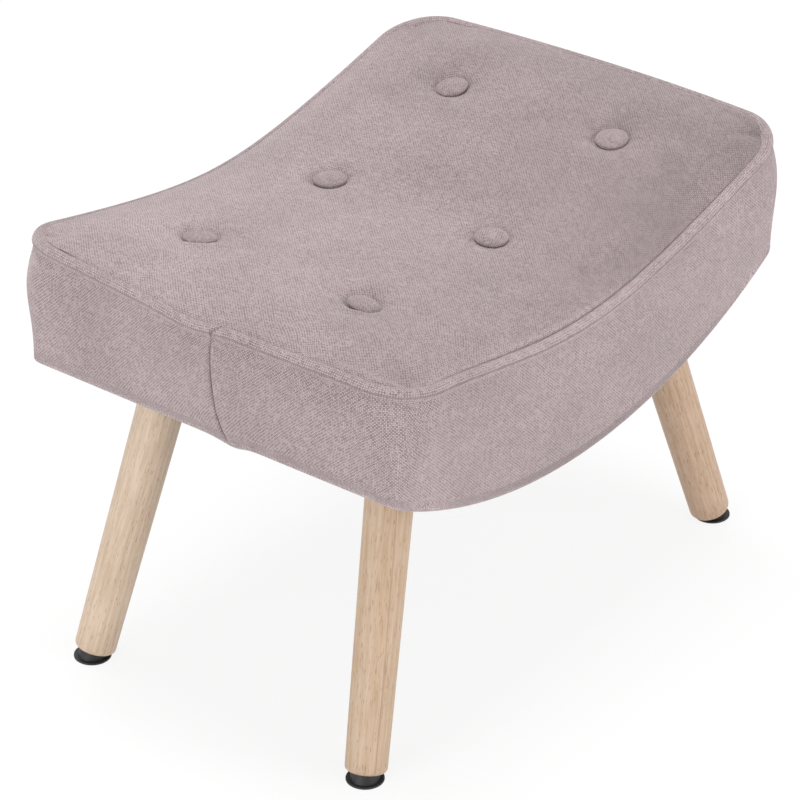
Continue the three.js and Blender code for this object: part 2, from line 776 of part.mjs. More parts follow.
function legRailStock(sideX) {
  const { point, normal } = legRailPlane(sideX);
  const length = 2 * (betweenRails - touchGap);
  const plank = new THREE.BoxGeometry(legRailWidth, length, legRailThickness)
    .translate(0, 0, legRailThickness / 2)
    .applyQuaternion(new THREE.Quaternion().setFromUnitVectors(upZ, normal))
    .translate(point.x, point.y, point.z);
  return toSolid(plank);
}

function makeLegs() {
  for (const [column, sideX] of [['left', -1], ['right', 1]]) {
    let rail = legRailStock(sideX);
    for (const [row, sideY] of [['front', -1], ['back', 1]]) {
      const frame = legFrame(sideX, sideY);
      footstool.add(frame);
      addNode(`leg_${row}_${column}`, legGeometry().translate(0, 0, legFootUp), beech, frame);
      addNode(`hanger_bolt_${row}_${column}`, hangerBoltGeometry().translate(0, 0, legTopUp), zinc, frame);
      addNode(`tee_nut_${row}_${column}`, teeNutGeometry().translate(0, 0, nutSeatUp), zinc, frame);
      addNode(`foot_glide_${row}_${column}`, toGeometry(glideSolid(frame, sideX, sideY)), blackPlastic);
      rail = legRailCutters(frame).reduce((left, cutter) => left.subtract(cutter), rail);
    }
    addNode(`leg_rail_${column}`, toGeometry(rail), beech);
  }
}

function makeDustCover() {
  const sheet = planPrism(lowerPlan, dustCoverInset, seatFloor - overrun, seatCeiling)
    .intersect(slabOverUnderside(-touchGap - dustCoverThickness, -touchGap));
  const holeRadius = (legTopRadius + legHoleClearance) / Math.cos(Math.PI / legSides);
  let cover = sheet;
  for (const sideX of [-1, 1]) {
    for (const sideY of [-1, 1]) {
      const hole = rod(holeRadius, legFootUp, legTopUp, legSides);
      cover = cover.subtract(along(legFrame(sideX, sideY), hole));
    }
  }
  addNode('dust_cover', toGeometry(cover), cambric);
}

// Buttons

function buttonGeometry() {
  const bore = (twineRadius + 2 * twineClearance) / Math.cos(Math.PI / twineSides);
  const crownSteps = 3;
  const dome = Array.from({ length: crownSteps }, (_, k) => {
    const angle = (k / crownSteps) * Math.PI / 2;
    const rise = (buttonHeight - buttonEdge) * Math.sin(angle);
    return [buttonRadius * Math.cos(angle), buttonEdge + rise];
  });
  const profile = [
    [0, twineInButton + touchGap],
    [bore, twineInButton + touchGap],
    [bore, 0],
    [buttonRadius - buttonEdge, 0],
    ...dome,
    [0, buttonHeight],
  ];
  return turned(profile, buttonSides);
}

function makeButtons() {
  for (const tuft of tufts) {
    const outward = new THREE.Vector3(-tuft.slopeX, -tuft.slopeY, 1).normalize();
    const button = addNode(`button_${tuft.name}`, buttonGeometry(), cloth);
    button.quaternion.setFromUnitVectors(upZ, outward);
    button.position.set(tuft.x, tuft.y, tuft.z).addScaledVector(outward, touchGap);

    const deckNormal = new THREE.Vector3(-undersideSlope(tuft.x), 0, 1).normalize();
    const deckUnderZ = undersideZ(tuft.x) + deckFoot;
    const bore = (threadedTwineRadius + twineClearance) / Math.cos(Math.PI / twineSides);
    const washerProfile = [
      [bore, 0], [washerRadius, 0], [washerRadius, washerThickness], [bore, washerThickness], [bore, 0],
    ];
    const washer = addNode(`twine_washer_${tuft.name}`, turned(washerProfile, fastenerSides), zinc);
    washer.quaternion.setFromUnitVectors(upZ, deckNormal);
    washer.position.set(tuft.x, tuft.y, deckUnderZ)
      .addScaledVector(deckNormal, -touchGap - washerThickness);

    const washerSpan = (touchGap + washerThickness) / deckNormal.z;
    const knotTop = deckUnderZ - washerSpan - knotRadius * Math.abs(undersideSlope(tuft.x)) - touchGap;
    const twineTop = tuft.z + touchGap + twineInButton;
    const twineProfile = [
      [0, knotTop - 2 * knotRadius],
      [knotRadius / 2, knotTop - 2 * knotRadius],
      [knotRadius, knotTop - knotRadius],
      [knotRadius / 2, knotTop],
      [twineRadius, knotTop],
      [twineRadius, twineTop],
      [0, twineTop],
    ];
    const twine = turned(twineProfile, twineSides).translate(tuft.x, tuft.y, 0);
    addNode(`tufting_twine_${tuft.name}`, twine, twineFibre);
  }
}

makeRails();
makeCornerBlocks();
makeLegs();
makeDeck();
makeFilling();
makeTopPanel();
makeBoxing('boxing_front', -1);
makeBoxing('boxing_back', 1);
makePiping();
makeButtons();
makeDustCover();

export default footstool;
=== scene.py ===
"""A footstool with a dipped, button-tufted seat on four splayed wooden legs, dressed in cloth.

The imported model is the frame. The cover, its piping, boxing and buttons, the filling, the legs and
the glides are made again from the seat's own curves, smoother and with their seams. The wooden and
metal pieces inside keep their shapes and get their finishes.

Sizes are in millimetres, as in the workshop, and become metres where a mesh is made. X runs along
the seat, Y across it, Z up. Left and right are -X and +X, front and back are -Y and +Y.
"""

import logging
import math
from dataclasses import dataclass
from enum import Enum

import bpy
import numpy as np
from bpy.types import Material, Node, NodeSocket, NodeTree, Object
from mathutils import Matrix, Vector

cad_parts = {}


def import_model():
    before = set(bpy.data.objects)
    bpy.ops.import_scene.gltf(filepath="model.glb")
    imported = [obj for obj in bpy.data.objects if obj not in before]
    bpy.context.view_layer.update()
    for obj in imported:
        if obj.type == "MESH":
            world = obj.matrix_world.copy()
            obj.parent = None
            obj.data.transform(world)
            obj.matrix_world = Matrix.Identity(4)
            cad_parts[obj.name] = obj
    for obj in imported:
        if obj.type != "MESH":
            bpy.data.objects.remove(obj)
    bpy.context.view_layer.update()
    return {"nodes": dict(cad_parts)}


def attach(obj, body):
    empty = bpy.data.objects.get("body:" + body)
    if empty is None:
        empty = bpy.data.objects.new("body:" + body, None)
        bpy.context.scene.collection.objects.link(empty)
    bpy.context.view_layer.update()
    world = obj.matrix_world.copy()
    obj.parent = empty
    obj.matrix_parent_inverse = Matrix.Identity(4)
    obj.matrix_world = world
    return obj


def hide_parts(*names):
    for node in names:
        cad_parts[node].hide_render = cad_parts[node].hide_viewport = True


MM = 0.001
BODY = "root"
CLOTH_MAP = "cloth_cut"
SHARP_ANGLE = math.radians(40)
WHITE = (1.0, 1.0, 1.0, 1.0)

log = logging.getLogger("footstool")


class Row(Enum):
    """The two rows of legs and buttons: a part of a piece's name, and the sign of Y."""

    FRONT = ("front", -1)
    BACK = ("back", 1)

    def __init__(self, label: str, side: int) -> None:
        """Keeps the name and the sign."""
        self.label, self.side = label, side


class Column(Enum):
    """The places along the seat: a part of a piece's name, and the sign of X."""

    LEFT = ("left", -1)
    MIDDLE = ("middle", 0)
    RIGHT = ("right", 1)

    def __init__(self, label: str, side: int) -> None:
        """Keeps the name and the sign."""
        self.label, self.side = label, side


class GrainRun(Enum):
    """The axis that a board's grain or layers follow, as a scale of a noise along X, Y and Z."""

    ALONG_X = (0.06, 1.0, 1.0)
    ALONG_Y = (1.0, 0.06, 1.0)
    ALONG_Z = (1.0, 1.0, 0.06)


class ClothPlace(Enum):
    """Where a cloth's threads get their place from."""

    CUT = "the piece's own map of its flat cut"
    BIAS_STRIP = "the run along a covered cord and the way round it"


# --- Nodes ---


def linear(hex_colour: str) -> tuple[float, float, float, float]:
    """Turns an sRGB hex colour into the linear one that shaders work with.

    Args:
        hex_colour: Six hex digits after a hash sign.

    Returns:
        Red, green, blue and a full alpha.
    """
    values = [int(hex_colour[i:i + 2], 16) / 255 for i in (1, 3, 5)]
    red, green, blue = [v / 12.92 if v <= 0.04045 else ((v + 0.055) / 1.055) ** 2.4 for v in values]
    return red, green, blue, 1.0


def add_node(tree: NodeTree, kind: str, settings: dict | None = None,
             inputs: dict | None = None) -> Node:
    """Adds one node to a tree.

    Args:
        tree: The tree of a material, a world or Geometry Nodes.
        kind: The node's type.
        settings: The node's own properties.
        inputs: By an input's name or number, a value or the output to link to it.

    Returns:
        The node.
    """
    node = tree.nodes.new(kind)
    for key, value in (settings or {}).items():
        setattr(node, key, value)
    for key, value in (inputs or {}).items():
        if isinstance(value, NodeSocket):
            tree.links.new(value, node.inputs[key])
        else:
            node.inputs[key].default_value = value
    return node


@dataclass(frozen=True)
class Nodes:
    """The nodes of one tree, added a line each, and the output of each that is used."""

    tree: NodeTree

    def add(self, kind: str, inputs: dict | None = None, out: int | str = 0,
            **settings: object) -> NodeSocket:
        """Adds a node of any kind with its inputs and own settings, and returns one output."""
        return add_node(self.tree, kind, settings, inputs).outputs[out]

    def math(self, operation: str, *values: object, **settings: object) -> NodeSocket:
        """Adds a node that works on numbers."""
        return self.add("ShaderNodeMath", dict(enumerate(values)), operation=operation, **settings)

    def vector(self, operation: str, *values: object, out: int | str = 0) -> NodeSocket:
        """Adds a node that works on vectors."""
        return self.add("ShaderNodeVectorMath", dict(enumerate(values)), out, operation=operation)

    def scaled(self, vector: NodeSocket, scale: float | NodeSocket) -> NodeSocket:
        """A vector or a colour times a number."""
        return self.add("ShaderNodeVectorMath", {0: vector, "Scale": scale}, operation="SCALE")

    def parts(self, vector: NodeSocket) -> list[NodeSocket]:
        """X, Y and Z of a vector."""
        return list(add_node(self.tree, "ShaderNodeSeparateXYZ", None, {0: vector}).outputs)

    def joined(self, **parts: float | NodeSocket) -> NodeSocket:
        """A vector of the X, Y and Z that are given."""
        return self.add("ShaderNodeCombineXYZ", parts)

    def noise(self, place: NodeSocket, scale: float, detail: float, flat: bool = False,
              out: str = "Fac", **inputs: float) -> NodeSocket:
        """A random unevenness of a scale and a detail, in space or on the flat."""
        given = {"Vector": place, "Scale": scale, "Detail": detail} | inputs
        return self.add("ShaderNodeTexNoise", given, out, noise_dimensions="2D" if flat else "3D")

    def ranged(self, value: NodeSocket, low: float = 0.0, high: float = 1.0, to_low: float = 0.0,
               to_high: float = 1.0, ease: str = "LINEAR") -> NodeSocket:
        """A value from one range held to another."""
        return self.add("ShaderNodeMapRange", {"Value": value, "From Min": low, "From Max": high,
                                               "To Min": to_low, "To Max": to_high},
                        interpolation_type=ease)

    def blend(self, share: NodeSocket, first: NodeSocket | float,
              second: NodeSocket | float) -> NodeSocket:
        """A number between two others."""
        return self.add("ShaderNodeMix", {"Factor": share, "A": first, "B": second},
                        data_type="FLOAT")

    def dyed(self, share: NodeSocket, first: NodeSocket | str,
             second: NodeSocket | str) -> NodeSocket:
        """A colour between two others, each a hex colour or an output."""
        first, second = [linear(end) if isinstance(end, str) else end for end in (first, second)]
        return self.add("ShaderNodeMix", {"Factor": share, 6: first, 7: second}, 2,
                        data_type="RGBA")

    def bump(self, height: NodeSocket, strength: float, depth: float,
             **settings: object) -> NodeSocket:
        """The slopes of a relief that is too fine for the mesh, with its depth in metres."""
        given = {"Strength": strength, "Distance": depth, "Height": height}
        return self.add("ShaderNodeBump", given, **settings)

    def marked(self, name: str, out: str = "Fac") -> NodeSocket:
        """What a point attribute says."""
        return self.add("ShaderNodeAttribute", None, out, attribute_name=name)

    def place(self) -> NodeSocket:
        """The place in the object, in metres."""
        return self.add("ShaderNodeTexCoord", None, "Object")

    def evenly(self, line: NodeSocket, step: NodeSocket) -> NodeSocket:
        """A line of edges as a curve of even steps."""
        curve = self.add("GeometryNodeMeshToCurve", {"Mesh": line})
        return self.add("GeometryNodeResampleCurve", {"Curve": curve, "Length": step},
                        mode="LENGTH")

    def seen(self) -> NodeSocket:
        """Tells the rays that look at the backdrop from those that light the object.

        Returns:
            One for a camera ray, straight or by glass or a mirror, and nought for others.
        """
        path = add_node(self.tree, "ShaderNodeLightPath").outputs
        straight = self.math("MAXIMUM", path["Is Camera Ray"], path["Is Glossy Ray"])
        return self.math("MAXIMUM", straight, path["Is Transmission Ray"])

    def surface(self, inputs: dict) -> None:
        """Ends a material's tree in a principled surface."""
        shader = self.add("ShaderNodeBsdfPrincipled", inputs)
        self.finish("ShaderNodeOutputMaterial", "Surface", shader)

    def finish(self, kind: str, key: str, result: NodeSocket) -> None:
        """Ends a tree in its output node."""
        add_node(self.tree, kind, None, {key: result})

    def hand_out(self, geometry: NodeSocket, material: NodeSocket) -> None:
        """Ends a Geometry Nodes tree in plain geometry of one material.

        Args:
            geometry: What the tree has made.
            material: Its finish.
        """
        real = self.add("GeometryNodeRealizeInstances", {"Geometry": geometry})
        dressed = self.add("GeometryNodeSetMaterial", {"Geometry": real, "Material": material})
        self.finish("NodeGroupOutput", "Geometry", dressed)


def new_material(name: str) -> tuple[Material, Nodes]:
    """Makes an empty node material.

    Args:
        name: The material's name.

    Returns:
        The material and its nodes.
    """
    material = bpy.data.materials.new(name)
    material.use_nodes = True
    material.node_tree.nodes.clear()
    return material, Nodes(material.node_tree)


def new_geometry_tree(name: str, inputs: dict[str, str]) -> tuple[Nodes, dict]:
    """Starts a Geometry Nodes tree.

    Args:
        name: The tree's name.
        inputs: The short socket type of each named input after the geometry.

    Returns:
        The tree's nodes, and the outputs of its input node by name.
    """
    tree = bpy.data.node_groups.new(name, "GeometryNodeTree")
    for label, kind in ({"Geometry": "Geometry"} | inputs).items():
        tree.interface.new_socket(label, in_out="INPUT", socket_type=f"NodeSocket{kind}")
    tree.interface.new_socket("Geometry", in_out="OUTPUT", socket_type="NodeSocketGeometry")
    return Nodes(tree), add_node(tree, "NodeGroupInput").outputs


# --- Pieces ---


def linked(name: str, data: bpy.types.ID) -> Object:
    """Puts an object in the scene.

    Args:
        name: The object's name.
        data: Its mesh, light or camera.

    Returns:
        The object.
    """
    made = bpy.data.objects.new(name, data)
    bpy.context.scene.collection.objects.link(made)
    return made


def mesh_piece(name: str, points: np.ndarray, faces: list, material: Material,
               smooth: bool = True) -> Object:
    """Makes a piece from its corners and faces.

    Args:
        name: The piece's name.
        points: Corners in millimetres, one row each.
        faces: Faces as tuples of corner numbers, turning left seen from outside.
        material: The finish of the whole piece.
        smooth: Whether the faces are shaded as one surface.

    Returns:
        The object, at the origin.
    """
    mesh = bpy.data.meshes.new(name)
    mesh.from_pydata((np.asarray(points, float) * MM).tolist(), [], faces)
    mesh.polygons.foreach_set("use_smooth", [smooth] * len(mesh.polygons))
    mesh.materials.append(material)
    mesh.update()
    return linked(name, mesh)


def corners_of(mesh: bpy.types.Mesh) -> np.ndarray:
    """Reads a mesh's corners.

    Args:
        mesh: The mesh.

    Returns:
        The corners, one row each.
    """
    corners = np.empty(len(mesh.vertices) * 3)
    mesh.vertices.foreach_get("co", corners)
    return corners.reshape(-1, 3)


def map_cloth(piece: Object, places: np.ndarray) -> None:
    """Writes the map of a cloth's flat cut.

    Args:
        piece: A mesh piece.
        places: For each corner, its place on the flat cloth in millimetres.
    """
    mesh = piece.data
    layer = mesh.uv_layers.new(name=CLOTH_MAP)
    corner_of_loop = np.empty(len(mesh.loops), np.int32)
    mesh.loops.foreach_get("vertex_index", corner_of_loop)
    layer.data.foreach_set("uv", (np.asarray(places, float) * MM)[corner_of_loop].ravel())


def mark(piece: Object, name: str, vectors: np.ndarray) -> None:
    """Writes three numbers for each corner as a point attribute that a finish reads."""
    attribute = piece.data.attributes.new(name, "FLOAT_VECTOR", "POINT")
    attribute.data.foreach_set("vector", np.asarray(vectors, float).ravel())


def mark_painted_shading(piece: Object, shading_share: np.ndarray) -> None:
    """Marks how much lighter or darker the cloth is painted at each corner, as painted light and
    shade.
    """
    mark(piece, "painted_shading", np.repeat(np.reshape(shading_share, (-1, 1)), 3, axis=1))


def thicken(piece: Object, thickness: float) -> None:
    """Gives a sheet its cloth's thickness inwards, as a live modifier.

    Args:
        piece: The sheet.
        thickness: Of the cloth, in millimetres.
    """
    wall = piece.modifiers.new("cloth_thickness", "SOLIDIFY")
    wall.thickness = thickness * MM
    wall.offset = -1.0


def grid_faces(rows: int, columns: int) -> list:
    """Four-sided faces of a grid of points numbered row by row."""
    return [(i * columns + j, (i + 1) * columns + j, (i + 1) * columns + j + 1, i * columns + j + 1)
            for i in range(rows - 1) for j in range(columns - 1)]


def lathe(profile: list[tuple[float, float]], sides: int) -> tuple[np.ndarray, list]:
    """Turns a profile about Z.

    Args:
        profile: Radius and height of each point, from the foot's middle round to the top's middle.
        sides: The number of sides.

    Returns:
        Corners, and faces that point outwards.
    """
    angles = np.arange(sides) * 2 * math.pi / sides
    points, rings = [], []
    for radius, height in profile:
        if radius == 0:
            rings.append([len(points)] * sides)
            points.append((0.0, 0.0, height))
        else:
            rings.append([len(points) + k for k in range(sides)])
            points.extend((radius * math.cos(a), radius * math.sin(a), height) for a in angles)
    faces = []
    for lower, upper in zip(rings, rings[1:]):
        for k in range(sides):
            beside = (k + 1) % sides
            corners = [lower[k], lower[beside], upper[beside], upper[k]]
            faces.append(tuple(dict.fromkeys(corners)))
    return np.array(points), faces


def stand_along(points: np.ndarray, foot: Vector, axis: Vector) -> np.ndarray:
    """Turns points from about Z to about an axis, with their origin at its foot."""
    turn = np.array(Vector((0, 0, 1)).rotation_difference(axis).to_matrix())
    return points @ turn.T + np.array(foot)


def swept(name: str, points: np.ndarray, nodes: Nodes, values: dict) -> Object:
    """Makes a piece by Geometry Nodes from a closed line of points.

    Args:
        name: The piece's name.
        points: The line in millimetres.
        nodes: The nodes of the tree that makes the piece.
        values: A value for each of the tree's named inputs.

    Returns:
        The piece, as a plain mesh.
    """
    line, count = bpy.data.meshes.new("path"), len(points)
    line.from_pydata((points * MM).tolist(), [(i, (i + 1) % count) for i in range(count)], [])
    carrier = linked("path", line)
    modifier = carrier.modifiers.new(nodes.tree.name, "NODES")
    modifier.node_group = nodes.tree
    for item in nodes.tree.interface.items_tree:
        if item.in_out == "INPUT" and item.name in values:
            modifier[item.identifier] = values[item.name]
    graph = bpy.context.evaluated_depsgraph_get()
    mesh = bpy.data.meshes.new_from_object(carrier.evaluated_get(graph))
    mesh.name = name
    bpy.data.objects.remove(carrier)
    return linked(name, mesh)


def soft_noise(x: np.ndarray, y: np.ndarray, size: float, seed: int) -> np.ndarray:
    """A smooth random unevenness.

    Args:
        x: Places along, in millimetres.
        y: Places across, of the same shape.
        size: The width of a hill and a hollow together, in millimetres.
        seed: Picks the pattern.

    Returns:
        Values of about -1 to 1.
    """
    picker = np.random.default_rng(seed)
    total = np.zeros(np.broadcast(x, y).shape)
    waves = 9
    for _ in range(waves):
        angle, phase = picker.uniform(0, 2 * math.pi, 2)
        length = size * picker.uniform(0.7, 1.5)
        total += np.sin((x * math.cos(angle) + y * math.sin(angle)) * 2 * math.pi / length + phase)
    return total / math.sqrt(waves)


def smooth_step(share: np.ndarray) -> np.ndarray:
    """Eases a share from nought to one."""
    held = np.clip(share, 0, 1)
    return held * held * (3 - 2 * held)


def hill(away: np.ndarray, reach: float | np.ndarray) -> np.ndarray:
    """One at a place, and less the farther away from it."""
    return np.exp(-(away / reach) ** 2)


def crowded_lines(half: float, marks: list[float]) -> np.ndarray:
    """Grid lines from -half to half that crowd together at marked places.

    Args:
        half: The last line on each side of the middle.
        marks: Where the lines are fine.

    Returns:
        The lines, in millimetres.
    """
    fine, coarse, widening = 0.9, 5.0, 0.16
    lines = [0.0]
    while lines[-1] < half:
        nearest = min(abs(lines[-1] - mark) for mark in marks)
        lines.append(lines[-1] + min(fine + widening * nearest, coarse))
    right = np.array(lines) * half / lines[-1]
    return np.concatenate([-right[:0:-1], right])


# --- The seat's curves ---


@dataclass(frozen=True)
class Plan:
    """One level of the seat's outline."""

    half_length: float
    half_width: float
    bow: float
    radius: float

    def mixed(self, other: "Plan", share: float) -> "Plan":
        """The plan at a share of the way up to another."""
        pairs = zip(vars(self).values(), vars(other).values())
        return Plan(*(low + (high - low) * share for low, high in pairs))


@dataclass(frozen=True)
class Tuft:
    """One place where a button draws the cover down: its middle, and the slope of its floor."""

    name: str
    x: float
    y: float
    z: float
    slope_x: float
    slope_y: float

    def outward(self) -> Vector:
        """The direction that the button faces."""
        return Vector((-self.slope_x, -self.slope_y, 1)).normalized()


@dataclass(frozen=True)
class SeatCurves:
    """The curves that the frame was built on, so that each soft piece meets what carries it.

    Attributes:
        top: The outline at the piping.
        lower: The outline at the frame's lower edge.
        underside_height: Height of that edge in the middle of the seat.
        underside_rise: How much higher it is at the ends.
        piping_height: Height of the piping in the middle of the seat.
        piping_rise: How much higher it is at the ends.
        piping_bend: How far from the middle the piping's dip straightens out.
        panel_edge_drop: How far below the piping's middle the top panel starts.
        crown_height: How far the panel rises above its edge.
        crown_flatness: How flat the crown is in its middle.
        crown_shoulder: How steep it is at its edge.
        button_x: Of the outer buttons, along the seat.
        button_y: Of the buttons, across the seat.
        tuft_depth: How far a button draws the crown down.
        tuft_flat: Half the width of a tuft's floor.
        corner_rise: How far the corners are raised.
        twist: How far two corners are raised and the other two lowered.
        near_sag: How far the front left corner sags.
        near_sag_reach: How far from the corner that fades out.
        join_sag: How far the left end sags at its join.
        join_sag_y: Where it does.
        join_sag_reach: How far in front of that and behind it the sag fades out.
        front_sag: How far the front edge sags.
        front_sag_x: Where it does.
        front_sag_reach: How far from there that fades out.
    """

    top: Plan = Plan(271.8, 204.3, 12.4, 45.0)
    lower: Plan = Plan(272.2, 195.5, 2.0, 12.0)
    underside_height: float = 216.0
    underside_rise: float = 74.0
    piping_height: float = 352.2
    piping_rise: float = 45.5
    piping_bend: float = 108.0
    panel_edge_drop: float = 1.0
    crown_height: float = 33.5
    crown_flatness: float = 3.0
    crown_shoulder: float = 0.46
    button_x: float = 174.6
    button_y: float = 86.0
    tuft_depth: float = 6.0
    tuft_flat: float = 15.5
    corner_rise: float = 3.7
    twist: float = 4.5
    near_sag: float = 4.7
    near_sag_reach: float = 48.0
    join_sag: float = 3.0
    join_sag_y: float = 6.0
    join_sag_reach: tuple[float, float] = (26.0, 42.0)
    front_sag: float = 1.4
    front_sag_x: float = -75.0
    front_sag_reach: float = 70.0

    @property
    def drawn(self) -> dict[tuple[Row, Column], float]:
        """How much deeper than the others each button was pulled by hand, in millimetres."""
        return {(Row.FRONT, Column.LEFT): 2.4, (Row.FRONT, Column.MIDDLE): -1.8,
                (Row.BACK, Column.LEFT): 1.2, (Row.BACK, Column.RIGHT): 1.5}

    def underside(self, x: np.ndarray) -> np.ndarray:
        """Follows the arc of the frame's lower edge.

        Args:
            x: X of the places.

        Returns:
            The height.
        """
        rise = self.underside_rise
        radius = (self.lower.half_length ** 2 + rise ** 2) / (2 * rise)
        return self.underside_height + radius - np.sqrt(radius ** 2 - np.square(x))

    def piping(self, x: np.ndarray) -> np.ndarray:
        """Follows the middle of the piping.

        Args:
            x: X of the places.

        Returns:
            The height.
        """
        lift = np.hypot(self.piping_bend, x) - self.piping_bend
        full_lift = math.hypot(self.piping_bend, self.top.half_length) - self.piping_bend
        return self.piping_height + self.piping_rise * lift / full_lift

    def sewn_lift(self, x: np.ndarray, y: np.ndarray) -> np.ndarray:
        """How far the sewn top lies above its even curve.

        Args:
            x: X of the places.
            y: Y of the places.

        Returns:
            The lift from the raised corners and the slight twist, less the sags of the front
            left corner, of the front edge and of the join at the left end, in millimetres.
        """
        along, across = x / self.top.half_length, y / self.top.half_width
        even = self.corner_rise * np.square(along * across) - self.twist * along * across
        sag = self.near_sag * hill(self.to_corner(-x, -y), self.near_sag_reach)
        on_front = np.clip(-across, 0, 1.1) ** 8
        sag = sag + self.front_sag * hill(x - self.front_sag_x, self.front_sag_reach) * on_front
        past_join, on_left = y - self.join_sag_y, np.clip(-along, 0, 1.1) ** 12
        reach = np.where(past_join > 0, self.join_sag_reach[1], self.join_sag_reach[0])
        return even - sag - self.join_sag * hill(past_join, reach) * on_left

    def to_corner(self, x: np.ndarray, y: np.ndarray) -> np.ndarray:
        """The distance of places in plan from the corner of the square round the top."""
        return np.hypot(self.top.half_length - x, self.top.half_width - y)

    def inside(self, x: np.ndarray, y: np.ndarray, reach: float) -> np.ndarray:
        """Nought at the edge, rising to one a reach inside it, over a grid of lines."""
        return np.outer(smooth_step((self.top.half_length - np.abs(x)) / reach),
                        smooth_step((self.top.half_width - np.abs(y)) / reach))

    def edge(self, x: np.ndarray, y: np.ndarray) -> np.ndarray:
        """Height of the middle of the piping as it was sewn."""
        return self.piping(x) + self.sewn_lift(x, y)

    def crown(self, x: np.ndarray, y: np.ndarray) -> np.ndarray:
        """Follows the top panel without its tufts.

        Args:
            x: X of the places.
            y: Y of the places.

        Returns:
            The height.
        """
        rise = self.crown_height
        for place, half in ((x, self.top.half_length), (y, self.top.half_width)):
            share = np.minimum(np.abs(place) / half, 1)
            rise = rise * (1 - share ** self.crown_flatness) ** self.crown_shoulder
        return self.edge(x, y) - self.panel_edge_drop + rise

    def place(self, line_x: np.ndarray, line_y: np.ndarray, plan: Plan,
              inset: np.ndarray | float) -> tuple[np.ndarray, np.ndarray]:
        """The place in plan of a point of the seat's grid.

        Args:
            line_x: The grid line across the seat that the point is on.
            line_y: The grid line along the seat that the point is on.
            plan: The outline at the point's level.
            inset: How far the outline is drawn in.

        Returns:
            X and Y in millimetres.
        """
        flat_x, flat_y = self.button_x + self.tuft_flat, self.button_y + self.tuft_flat
        end_share = (np.maximum(np.abs(line_x) - flat_x, 0) / (self.top.half_length - flat_x)) ** 2
        side_share = (np.maximum(np.abs(line_y) - flat_y, 0) / (self.top.half_width - flat_y)) ** 2
        half_length, half_width = plan.half_length - inset, plan.half_width - inset
        radius = plan.radius - inset
        x = np.abs(line_x) + end_share * (half_length - self.top.half_length)
        y = np.abs(line_y) + side_share * (half_width - self.top.half_width)
        past_x, past_y = x - (half_length - radius), y - (half_width - radius)
        in_corner = (past_x > 0) & (past_y > 0)
        reach = np.maximum(np.hypot(past_x, past_y), 1e-9)
        draw_in = np.where(in_corner, np.maximum(past_x, past_y) / reach - 1, 0)
        x = x + past_x * draw_in
        y = y + past_y * draw_in
        x = x + end_share * plan.bow * (1 - (y / half_width) ** 2)
        return np.sign(line_x) * x, np.sign(line_y) * y

    def tufts(self) -> list[Tuft]:
        """Places the six tufts.

        Returns:
            The tufts, named by row and column.
        """
        found, flat = [], self.tuft_flat
        for row in Row:
            for column in Column:
                x, y = column.side * self.button_x, row.side * self.button_y
                slope_x = (self.crown(x + flat, y) - self.crown(x - flat, y)) / (2 * flat)
                slope_y = (self.crown(x, y + flat) - self.crown(x, y - flat)) / (2 * flat)
                floor = self.crown(x, y) - self.tuft_depth - self.drawn.get((row, column), 0.0)
                found.append(Tuft(f"{row.label}_{column.label}", x, y, float(floor),
                                  float(slope_x), float(slope_y)))
        return found

    def outline(self, step: float) -> tuple[np.ndarray, np.ndarray]:
        """Grid lines of places right round the edge, anticlockwise from the right end's middle.

        Args:
            step: The distance between places, in millimetres.

        Returns:
            The X lines and the Y lines of the places.
        """
        length, width = self.top.half_length, self.top.half_width
        across = np.linspace(0, width, max(2, round(width / step)) + 1)
        along = np.linspace(length, -length, max(2, round(2 * length / step)) + 1)[1:-1]
        right = np.full(len(across), length)
        back_x = np.concatenate([right, along, -right])
        back_y = np.concatenate([across, np.full(len(along), width), across[::-1]])
        front_x, front_y = back_x[1:-1][::-1], -back_y[1:-1][::-1]
        return np.concatenate([back_x, front_x]), np.concatenate([back_y, front_y])


# --- Finishes ---


